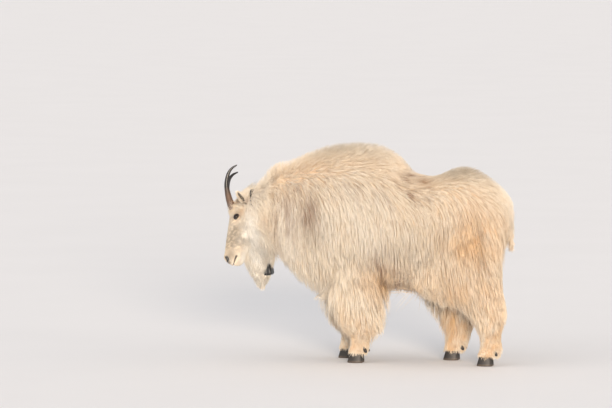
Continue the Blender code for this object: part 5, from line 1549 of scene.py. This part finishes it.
# %% The horn's node tree
horn_tree = bpy.data.node_groups.new("ringed horn", "GeometryNodeTree")
sockets = horn_tree.interface
sockets.new_socket("Geometry", in_out="INPUT", socket_type="NodeSocketGeometry")
for name, kind, value in (("Segments", "NodeSocketInt", 170), ("Sides", "NodeSocketInt", 28),
                          ("Ring spacing", "NodeSocketFloat", 0.0095),
                          ("Ring height", "NodeSocketFloat", 0.055)):
    sockets.new_socket(name, in_out="INPUT", socket_type=kind).default_value = value
sockets.new_socket("Geometry", in_out="OUTPUT", socket_type="NodeSocketGeometry")
given = node(horn_tree, "NodeGroupInput")
fine = node(horn_tree, "GeometryNodeResampleCurve", {"Curve": given.outputs["Geometry"],
                                                     "Count": given.outputs["Segments"]})
spline = node(horn_tree, "GeometryNodeSplineParameter")
turns = node(horn_tree, "ShaderNodeMath", {0: spline.outputs["Length"],
                                           1: given.outputs["Ring spacing"]}, operation="DIVIDE")
angle = node(horn_tree, "ShaderNodeMath", {0: turns.outputs[0], 1: 2 * math.pi},
             operation="MULTIPLY")
wave = node(horn_tree, "ShaderNodeMath", {0: angle.outputs[0]}, operation="SINE")
fade = node(horn_tree, "ShaderNodeMapRange", {0: spline.outputs["Factor"], 1: 0.12, 2: 0.55,
                                              3: 1.0, 4: 0.10})
tall = node(horn_tree, "ShaderNodeMath", {0: wave.outputs[0], 1: given.outputs["Ring height"]},
            operation="MULTIPLY")
tall = node(horn_tree, "ShaderNodeMath", {0: tall.outputs[0], 1: fade.outputs[0]},
            operation="MULTIPLY")
swell = node(horn_tree, "ShaderNodeMath", {0: tall.outputs[0], 1: 1.0})
radius = node(horn_tree, "ShaderNodeMath",
              {0: node(horn_tree, "GeometryNodeInputRadius").outputs[0], 1: swell.outputs[0]},
              operation="MULTIPLY")
kept = node(horn_tree, "GeometryNodeStoreNamedAttribute",
            {"Geometry": fine.outputs[0], "Name": "growth", "Value": spline.outputs["Factor"]})
section = node(horn_tree, "GeometryNodeCurvePrimitiveCircle",
               {"Resolution": given.outputs["Sides"], "Radius": 1.0})
oval_section = node(horn_tree, "GeometryNodeTransform",
                    {"Geometry": section.outputs["Curve"], "Scale": (1.06, 0.94, 1.0)})
swept = node(horn_tree, "GeometryNodeCurveToMesh",
             {"Curve": kept.outputs[0], "Profile Curve": oval_section.outputs[0],
              "Scale": radius.outputs[0], "Fill Caps": True})
whole = node(horn_tree, "GeometryNodeRealizeInstances", {"Geometry": swept.outputs[0]})
coated = node(horn_tree, "GeometryNodeSetMaterial", {"Geometry": whole.outputs[0],
                                                     "Material": horn_finish})
node(horn_tree, "NodeGroupOutput", {"Geometry": coated.outputs[0]})
print("horn tree:", len(horn_tree.nodes), "nodes")

# %% Sweep both horns
def path_object(name, points, radii, closed=False):
    """A poly curve through points."""
    curve = bpy.data.curves.new(name, "CURVE")
    curve.dimensions = "3D"
    spline = curve.splines.new("POLY")
    spline.points.add(len(points) - 1)
    spline.points.foreach_set("co", np.append(points, np.ones((len(points), 1)), 1).ravel())
    spline.points.foreach_set("radius", radii)
    spline.use_cyclic_u = closed
    return add_object(name, curve)


def grown(carrier, name, tree, **inputs):
    """Run a node tree on an object with its named inputs set, and keep the result as a plain mesh."""
    modifier = carrier.modifiers.new(tree.name, "NODES")
    modifier.node_group = tree
    for item in tree.interface.items_tree:
        if item.in_out == "INPUT" and item.name.replace(" ", "_") in inputs:
            modifier[item.identifier] = inputs[item.name.replace(" ", "_")]
    graph = bpy.context.evaluated_depsgraph_get()
    mesh = bpy.data.meshes.new_from_object(carrier.evaluated_get(graph))
    bpy.data.objects.remove(carrier, do_unlink=True)
    return face_out(add_object(name, mesh))


rows = read_table([(i, *row) for i, row in enumerate(HORN)], np.linspace(0, len(HORN) - 1, 60))
horns = []
for side, word in SIDES:
    line = placed(rows[:, :3] * np.array((1, side, 1)))
    horn = grown(path_object("horn_path", line, rows[:, 3]), "horn_sheath_" + word, horn_tree,
                 Ring_height=0.055)
    horn.data.shade_smooth()
    horns.append(horn)
    print(horn.name, len(horn.data.polygons), "faces")

# %% [markdown]
# ## Hooves and dewclaws
# Each foot has two narrow black toes with a rounded toe tip, a hard rim and a slightly hollow
# side towards its twin, and two blunt dewclaws high behind. Hoof horn grows in faint level
# lines 4 mm apart, and wear makes its lower edge paler.

# %% Toes and dewclaws
def toe(foot, side, toe_x, sides=28):
    """Rings of half a cloven hoof. side is 1 for the toe at +Y."""
    levels = [(0.0475, 0.026, 0.0015), (0.046, 0.0295, 0.0), (0.038, 0.0325, 0.0),
              (0.026, 0.0350, -0.001), (0.014, 0.0372, -0.002), (0.005, 0.0388, -0.003),
              (0.0015, 0.0380, -0.003), (0.0, 0.0355, -0.003)]
    turn = np.linspace(0, 2 * np.pi, sides, endpoint=False)
    splay = math.radians(5) * side
    rings = []
    for z, reach_x, shift in levels:
        c, s = np.cos(turn), np.sin(turn)
        x = np.sign(c) * np.abs(c) ** 0.8 * reach_x
        y = np.sign(s) * np.abs(s) ** 0.8 * 0.0165 * (0.90 if z > 0.047 else 1.0)
        y = y * (1 - 0.24 * np.clip(-x / reach_x, 0, 1) ** 2)
        y = y * np.where(y * side > 0, reach_x / 0.0345, 1 - 0.10 * np.clip(c, 0, 1))
        if z < 0.001:
            y = y * 0.93
        spot_x = x + shift
        rings.append(np.stack([
            foot[0] + toe_x + spot_x * math.cos(splay) + y * math.sin(splay),
            foot[1] + side * 0.0192 - spot_x * math.sin(splay) + y * math.cos(splay),
            np.full(sides, z)], -1))
    return np.array(rings)


def dewclaw_rings(foot, side, heel_x, sides=14):
    """Rings of a dewclaw: a short, blunt cone behind the pastern."""
    root = np.array((foot[0] + heel_x - 0.022, foot[1] + side * 0.018, 0.082))
    tip = np.array((foot[0] + heel_x + 0.004, foot[1] + side * 0.034, 0.054))
    along = unit(tip - root)
    across = unit(np.cross(along, (0.0, 1.0, 0.0)))
    beside = np.cross(along, across)
    turn = np.linspace(0, 2 * np.pi, sides, endpoint=False)[:, None]
    rings = []
    for share, radius in ((0.0, 0.0088), (0.3, 0.0098), (0.6, 0.0096), (0.85, 0.0080),
                          (0.97, 0.0052), (1.02, 0.0022)):
        centre = root + (tip - root) * share
        rings.append(centre + (across * np.cos(turn) + beside * np.sin(turn) * 0.9) * radius)
    return np.array(rings)


hooves = several_tubes("hooves", [toe(foot, side, toe_x) for _, foot, toe_x, _ in LEGS.values()
                                  for side in (1, -1)])
dewclaws = several_tubes("dewclaws", [dewclaw_rings(foot, side, heel_x)
                                      for _, foot, _, heel_x in LEGS.values()
                                      for side in (1, -1)])
hoof_finish, tree, shader = new_finish("hoof horn", 0.5, 1.55)
place = node(tree, "ShaderNodeTexCoord")
height = node(tree, "ShaderNodeSeparateXYZ", {0: place.outputs["Object"]})
lines = node(tree, "ShaderNodeMath", {0: height.outputs["Z"], 1: 1600.0}, operation="MULTIPLY")
lines = node(tree, "ShaderNodeMath", {0: lines.outputs[0]}, operation="SINE")
cloud = node(tree, "ShaderNodeTexNoise", {"Vector": place.outputs["Object"], "Scale": 130.0,
                                          "Detail": 4.0})
rough_edge = node(tree, "ShaderNodeMapRange", {0: height.outputs["Z"], 1: 0.0, 2: 0.014,
                                               3: 0.65, 4: 0.0})
worn = node(tree, "ShaderNodeMath", {0: rough_edge.outputs[0], 1: cloud.outputs["Fac"]},
            operation="MULTIPLY")
colour = node(tree, "ShaderNodeMix", {0: worn.outputs[0], 6: linear("#1E1916"),
                                      7: linear("#8C7B6A")}, data_type="RGBA")
tree.links.new(colour.outputs[2], shader.inputs["Base Color"])
bump = node(tree, "ShaderNodeBump", {"Height": lines.outputs[0], "Strength": 0.3,
                                     "Distance": 0.0004})
tree.links.new(bump.outputs[0], shader.inputs["Normal"])
for obj in (hooves, dewclaws):
    obj.data.materials.append(hoof_finish)
print("hooves:", len(hooves.data.polygons), "faces, dewclaws:", len(dewclaws.data.polygons))

# %% [markdown]
# ## The collar
# A tracking collar is a band of coated nylon webbing, about 4 cm wide, with a black moulded
# battery housing that hangs at the throat. Winter coat hides most of the band. The band is
# stitched along both edges: the stitches repeat along a path, so Geometry Nodes place them.

# %% Strap and housing
STRAP_AT, STRAP_LEAN = Vector((-0.540, 0.0, 0.6635)), math.radians(9.4)
STRAP_HALF_HEIGHT, STRAP_HALF_WIDTH, STRAP_PINCH = 0.185, 0.076, 0.55
STRAP_LENGTH, STRAP_WIDTH, STRAP_THICKNESS = 0.84, 0.042, 0.004
HOUSING = (0.046, 0.072, 0.060)
SEAM_LEVEL, SEAM_HALF, SEAM_DEPTH = 0.0140, 0.0010, 0.0012
STRAP_TO_MODEL = Matrix.Translation(STRAP_AT) @ Matrix.Rotation(-STRAP_LEAN, 4, "Y")


def strap_line(steps, offset, out):
    """Points round the strap at one place across it, and that far off its inner face."""
    turn = np.linspace(0, 2 * np.pi, steps, endpoint=False)
    pinch = 1 - STRAP_PINCH * np.clip(-np.sin(turn), 0, None) ** 1.5
    line = np.stack([np.zeros(steps), np.cos(turn) * STRAP_HALF_WIDTH * pinch,
                     np.sin(turn) * STRAP_HALF_HEIGHT], -1)
    ahead = np.roll(line, -1, 0) - np.roll(line, 1, 0)
    normal = unit(np.stack([np.zeros(steps), ahead[:, 2], -ahead[:, 1]], -1))
    line = line + normal * out
    line[:, 0] = offset
    return line


def to_strap(points):
    """Points of the strap's own frame in the model's frame."""
    matrix = np.array(STRAP_TO_MODEL)
    return points @ matrix[:3, :3].T + matrix[:3, 3]


half, thick = STRAP_WIDTH / 2, STRAP_THICKNESS
section = [(-half + 0.0008, 0), (half - 0.0008, 0), (half, 0.0009), (half, thick - 0.0009),
           (half - 0.0009, thick), (0.0, thick - 0.0003), (-half + 0.0009, thick),
           (-half, thick - 0.0009), (-half, 0.0009)]
band = np.stack([to_strap(strap_line(120, x, out)) for x, out in section], 1)
strap = face_out(add_mesh("collar_band", band, grid_faces(*band.shape[:2])))
i, j = np.indices(band.shape[:2])
weave = np.stack([i / len(band) * STRAP_LENGTH, np.array([x for x, _ in section])[j],
                  i * 0, i * 0 + 1], -1)
write_colour(strap.data, "weave", weave.reshape(-1, 4))

bm = bmesh.new()
bmesh.ops.create_cube(bm, size=1.0)
bmesh.ops.scale(bm, vec=HOUSING, verts=bm.verts)
bmesh.ops.bevel(bm, geom=bm.edges[:], offset=0.011, segments=6, profile=0.6, affect="EDGES")
for z in (SEAM_LEVEL + SEAM_HALF, SEAM_LEVEL, SEAM_LEVEL - SEAM_HALF):
    bmesh.ops.bisect_plane(bm, geom=bm.verts[:] + bm.edges[:] + bm.faces[:],
                           plane_co=(0, 0, z), plane_no=(0, 0, 1))
for vert in bm.verts:
    if abs(vert.co.z - SEAM_LEVEL) < 1e-5:
        vert.co.x *= 1 - SEAM_DEPTH * 2 / HOUSING[0]
        vert.co.y *= 1 - SEAM_DEPTH * 2 / HOUSING[1]
case = add_bmesh("collar_case", bm)
drop = STRAP_HALF_HEIGHT + STRAP_THICKNESS + 0.0004 + HOUSING[2] / 2
CASE_TO_MODEL = STRAP_TO_MODEL @ Matrix.Translation((0, 0, -drop))
case.data.transform(CASE_TO_MODEL)
case.data.shade_smooth()
face_out(case)
print("strap:", len(strap.data.polygons), "faces, housing:", len(case.data.polygons))

# %% Stitches, placed along a path by Geometry Nodes
# Waxed polyester thread, a little lighter than the band, so each stitch can be told
thread_finish, tree, shader = mottled("waxed thread", 0.6, 1.5, 900.0, "#2A2724", "#5A544C")

stitch_tree = bpy.data.node_groups.new("row of stitches", "GeometryNodeTree")
sockets = stitch_tree.interface
sockets.new_socket("Geometry", in_out="INPUT", socket_type="NodeSocketGeometry")
for name, kind, value in (("Spacing", "NodeSocketFloat", 0.0042),
                          ("Stitch length", "NodeSocketFloat", 0.0030),
                          ("Thread radius", "NodeSocketFloat", 0.00045)):
    sockets.new_socket(name, in_out="INPUT", socket_type=kind).default_value = value
sockets.new_socket("Geometry", in_out="OUTPUT", socket_type="NodeSocketGeometry")
given = node(stitch_tree, "NodeGroupInput")
spots = node(stitch_tree, "GeometryNodeCurveToPoints",
             {"Curve": given.outputs["Geometry"], "Length": given.outputs["Spacing"]}, mode="LENGTH")
stitch = node(stitch_tree, "GeometryNodeMeshIcoSphere", {"Subdivisions": 2, "Radius": 1.0})
size = node(stitch_tree, "ShaderNodeCombineXYZ", {0: given.outputs["Thread radius"],
                                                  1: given.outputs["Thread radius"]})
half_length = node(stitch_tree, "ShaderNodeMath", {0: given.outputs["Stitch length"], 1: 0.5},
                   operation="MULTIPLY")
stitch_tree.links.new(half_length.outputs[0], size.inputs[2])
row = node(stitch_tree, "GeometryNodeInstanceOnPoints",
           {"Points": spots.outputs["Points"], "Instance": stitch.outputs["Mesh"],
            "Rotation": spots.outputs["Rotation"], "Scale": size.outputs[0]})
whole = node(stitch_tree, "GeometryNodeRealizeInstances", {"Geometry": row.outputs[0]})
coated = node(stitch_tree, "GeometryNodeSetMaterial", {"Geometry": whole.outputs[0],
                                                       "Material": thread_finish})
node(stitch_tree, "NodeGroupOutput", {"Geometry": coated.outputs[0]})
stitches = []
for word, offset in (("front", -half + 0.004), ("rear", half - 0.004)):
    line = to_strap(strap_line(120, offset, thick + 0.00005))
    stitches.append(grown(path_object("seam", line, np.ones(120), closed=True),
                          "stitches_" + word, stitch_tree, Spacing=0.0042))
    print(stitches[-1].name, len(stitches[-1].data.polygons), "faces")

# %% Bolts of the housing, and both finishes
def bolt(centre, radius, height, sides=20):
    """Rings of a round bolt head with a drive socket, which looks down from the housing."""
    turn = np.linspace(0, 2 * np.pi, sides, endpoint=False)
    profile = [(0.0, -0.002), (radius, -0.002), (radius, height * 0.6), (radius * 0.86, height),
               (radius * 0.45, height), (radius * 0.38, height * 0.35)]
    rings = [np.stack([centre[0] + (r + 1e-5) * np.cos(turn), centre[1] + (r + 1e-5) * np.sin(turn),
                       np.full(sides, centre[2] + z)], -1) for r, z in profile]
    return np.array(rings)


to_model = np.array(CASE_TO_MODEL)
bolts = [bolt((x, y, -HOUSING[2] / 2), 0.0032, -0.0012) @ to_model[:3, :3].T + to_model[:3, 3]
         for x in (-0.014, 0.014) for y in (-0.026, 0.026)]
bolts = several_tubes("case_bolts", bolts)
# Turned stainless steel, dulled by weather, so it glints only here and there
steel_finish, tree, shader = mottled("stainless steel bolts", 0.35, 1.5, 700.0, "#6E6C69", "#A7A49F",
                                     Metallic=1.0)
bolts.data.materials.append(steel_finish)

# Webbing is woven from flat nylon yarn and coated: ribs 2 mm apart across the band and 4 mm
# apart along it catch the light, and dirt browns it in patches
webbing_finish, tree, shader = mottled("coated nylon webbing", 0.6, 1.53, 45.0, "#1B1917", "#3A342D",
                                       5.0)
weave = node(tree, "ShaderNodeAttribute", attribute_name="weave")
ribs = node(tree, "ShaderNodeVectorMath", {0: weave.outputs["Vector"], 1: (1600.0, 3100.0, 0.0)},
            operation="MULTIPLY")
split = node(tree, "ShaderNodeSeparateXYZ", {0: ribs.outputs[0]})
one = node(tree, "ShaderNodeMath", {0: split.outputs[0]}, operation="SINE")
other = node(tree, "ShaderNodeMath", {0: split.outputs[1]}, operation="SINE")
woven = node(tree, "ShaderNodeMath", {0: one.outputs[0], 1: other.outputs[0]},
             operation="MULTIPLY")
bump = node(tree, "ShaderNodeBump", {"Height": woven.outputs[0], "Strength": 0.5,
                                     "Distance": 0.0004})
tree.links.new(bump.outputs[0], shader.inputs["Normal"])
strap.data.materials.append(webbing_finish)

# Moulded ABS has a fine spark-eroded grain, and scuffs lighten it in patches
case_finish, tree, shader = new_finish("moulded ABS housing", 0.42, 1.53)
place = node(tree, "ShaderNodeTexCoord")
cloud = node(tree, "ShaderNodeTexNoise", {"Vector": place.outputs["Object"], "Scale": 38.0,
                                          "Detail": 6.0, "Roughness": 0.7})
scuffs = node(tree, "ShaderNodeMapRange", {0: cloud.outputs["Fac"], 1: 0.55, 2: 0.75})
colour = node(tree, "ShaderNodeMix", {0: scuffs.outputs[0], 6: linear("#121213"),
                                      7: linear("#3B3A38")}, data_type="RGBA")
tree.links.new(colour.outputs[2], shader.inputs["Base Color"])
grain = node(tree, "ShaderNodeTexNoise", {"Vector": place.outputs["Object"], "Scale": 900.0})
bump = node(tree, "ShaderNodeBump", {"Height": grain.outputs["Fac"], "Strength": 0.2,
                                     "Distance": 0.0003})
tree.links.new(bump.outputs[0], shader.inputs["Normal"])
case.data.materials.append(case_finish)
print("bolts:", len(bolts.data.polygons), "faces")

# %% [markdown]
# ## Everything in its place
# Each piece moves by MIDDLE into the frame of the solids, rides on the one body, and hides
# the solids it stands for.

# %% Ride and replace
LEG_NAMES = tuple(LEGS)
pieces = [
    (skin, "winter_coat", ["head", "neck", "torso", "rump", "tail"]
     + [f"{half}_leg_{leg}" for half in ("upper", "lower") for leg in LEG_NAMES]),
    (ears[0], "short_coat", ["ear_left"]), (ears[1], "short_coat", ["ear_right"]),
    (eyes[0], "eye", ["eye_left"]), (eyes[1], "eye", ["eye_right"]),
    (horns[0], "horn", ["horn_left"]), (horns[1], "horn", ["horn_right"]),
    (hooves, "hoof", [f"hoof_{leg}_{side}" for leg in LEG_NAMES for side in ("left", "right")]),
    (dewclaws, "hoof", [f"dewclaw_{leg}_{side}" for leg in LEG_NAMES for side in ("left", "right")]),
    (strap, "collar_strap", ["collar_strap"]), (case, "collar_housing", ["collar_housing"]),
    (bolts, "collar_housing", []), (stitches[0], "collar_strap", []),
    (stitches[1], "collar_strap", []),
]
pieces += [(coat, "short_coat" if "face" in coat.name or "ear" in coat.name else "winter_coat", [])
           for coat in coat_pieces]
for piece, slot, solids in pieces:
    piece.data.transform(Matrix.Translation(MIDDLE))
    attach(piece, "root")
    if solids:
        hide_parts(*solids)
triangles = {piece.name: sum(len(p.vertices) - 2 for p in piece.data.polygons)
             for piece, _, _ in pieces}
print("triangles:", triangles, "in all:", sum(triangles.values()))

# %% [markdown]
# ## Floor, light and camera
# The photo's telephoto view is nearly level: the camera stands 13 degrees towards the rump
# from the goat's left and 4 degrees up. The key lamp stands low beside the camera, for the
# low sun. A wide lamp fills from the head's side and another from the rump's side, and a pale
# floor and world lift the shade. Sun lamps are used as they light the whole floor evenly.

# %% Floor, lights and world
bm = bmesh.new()
bmesh.ops.create_circle(bm, cap_ends=True, segments=96, radius=140.0)
floor = add_bmesh("floor", bm)
floor.location.z = -0.0006
# Matt paint on a board, rolled on, so its grey drifts a little from place to place
floor_finish, tree, shader = mottled("pale studio floor", 0.85, 1.45, 1.2, "#E6E5E6", "#EAE9EA", 3.0)
floor.data.materials.append(floor_finish)

world = bpy.data.worlds.new("studio")
bpy.context.scene.world = world
world.use_nodes = True
world.node_tree.nodes["Background"].inputs["Color"].default_value = linear("#F3F4F7")
world.node_tree.nodes["Background"].inputs["Strength"].default_value = 0.75


def soft_sun(name, azimuth, elevation, spread_angle, power, colour):
    """A lamp that lights the whole floor evenly. Azimuth 0 is the goat's left, 90 its rump."""
    lamp = bpy.data.lights.new(name, "SUN")
    lamp.angle = math.radians(spread_angle)
    lamp.energy = power
    lamp.color = linear(colour)[:3]
    made = add_object(name, lamp)
    made.rotation_euler = (math.radians(90 - elevation), 0.0, math.radians(azimuth))


soft_sun("key", 20, 9, 16, 4.1, "#FFEEDA")
soft_sun("fill", -50, 8, 80, 1.0, "#FFF8F0")
soft_sun("rim", 85, 10, 60, 0.9, "#FFF3E4")

# %% Camera
AZIMUTH, ELEVATION, DISTANCE = math.radians(13), math.radians(4), 22.0
FRAME_WIDTH = 3.06  # metres across the picture at the goat
SENSOR = 36.0
AIM_AT = Vector((-0.3153, 0.0, 0.777))
towards = Vector((math.sin(AZIMUTH) * math.cos(ELEVATION),
                  -math.cos(AZIMUTH) * math.cos(ELEVATION), math.sin(ELEVATION)))
camera = add_object("camera", bpy.data.cameras.new("camera"))
camera.data.sensor_width = SENSOR
camera.data.lens = SENSOR * DISTANCE / FRAME_WIDTH
camera.data.clip_end = 400.0
camera.location = AIM_AT + towards * DISTANCE
camera.rotation_euler = (-towards).to_track_quat("-Z", "Y").to_euler()
bpy.context.scene.camera = camera
bpy.context.scene.view_settings.view_transform = "Standard"
print("lens:", round(camera.data.lens, 1), "mm, camera at", [round(v, 2) for v in camera.location])
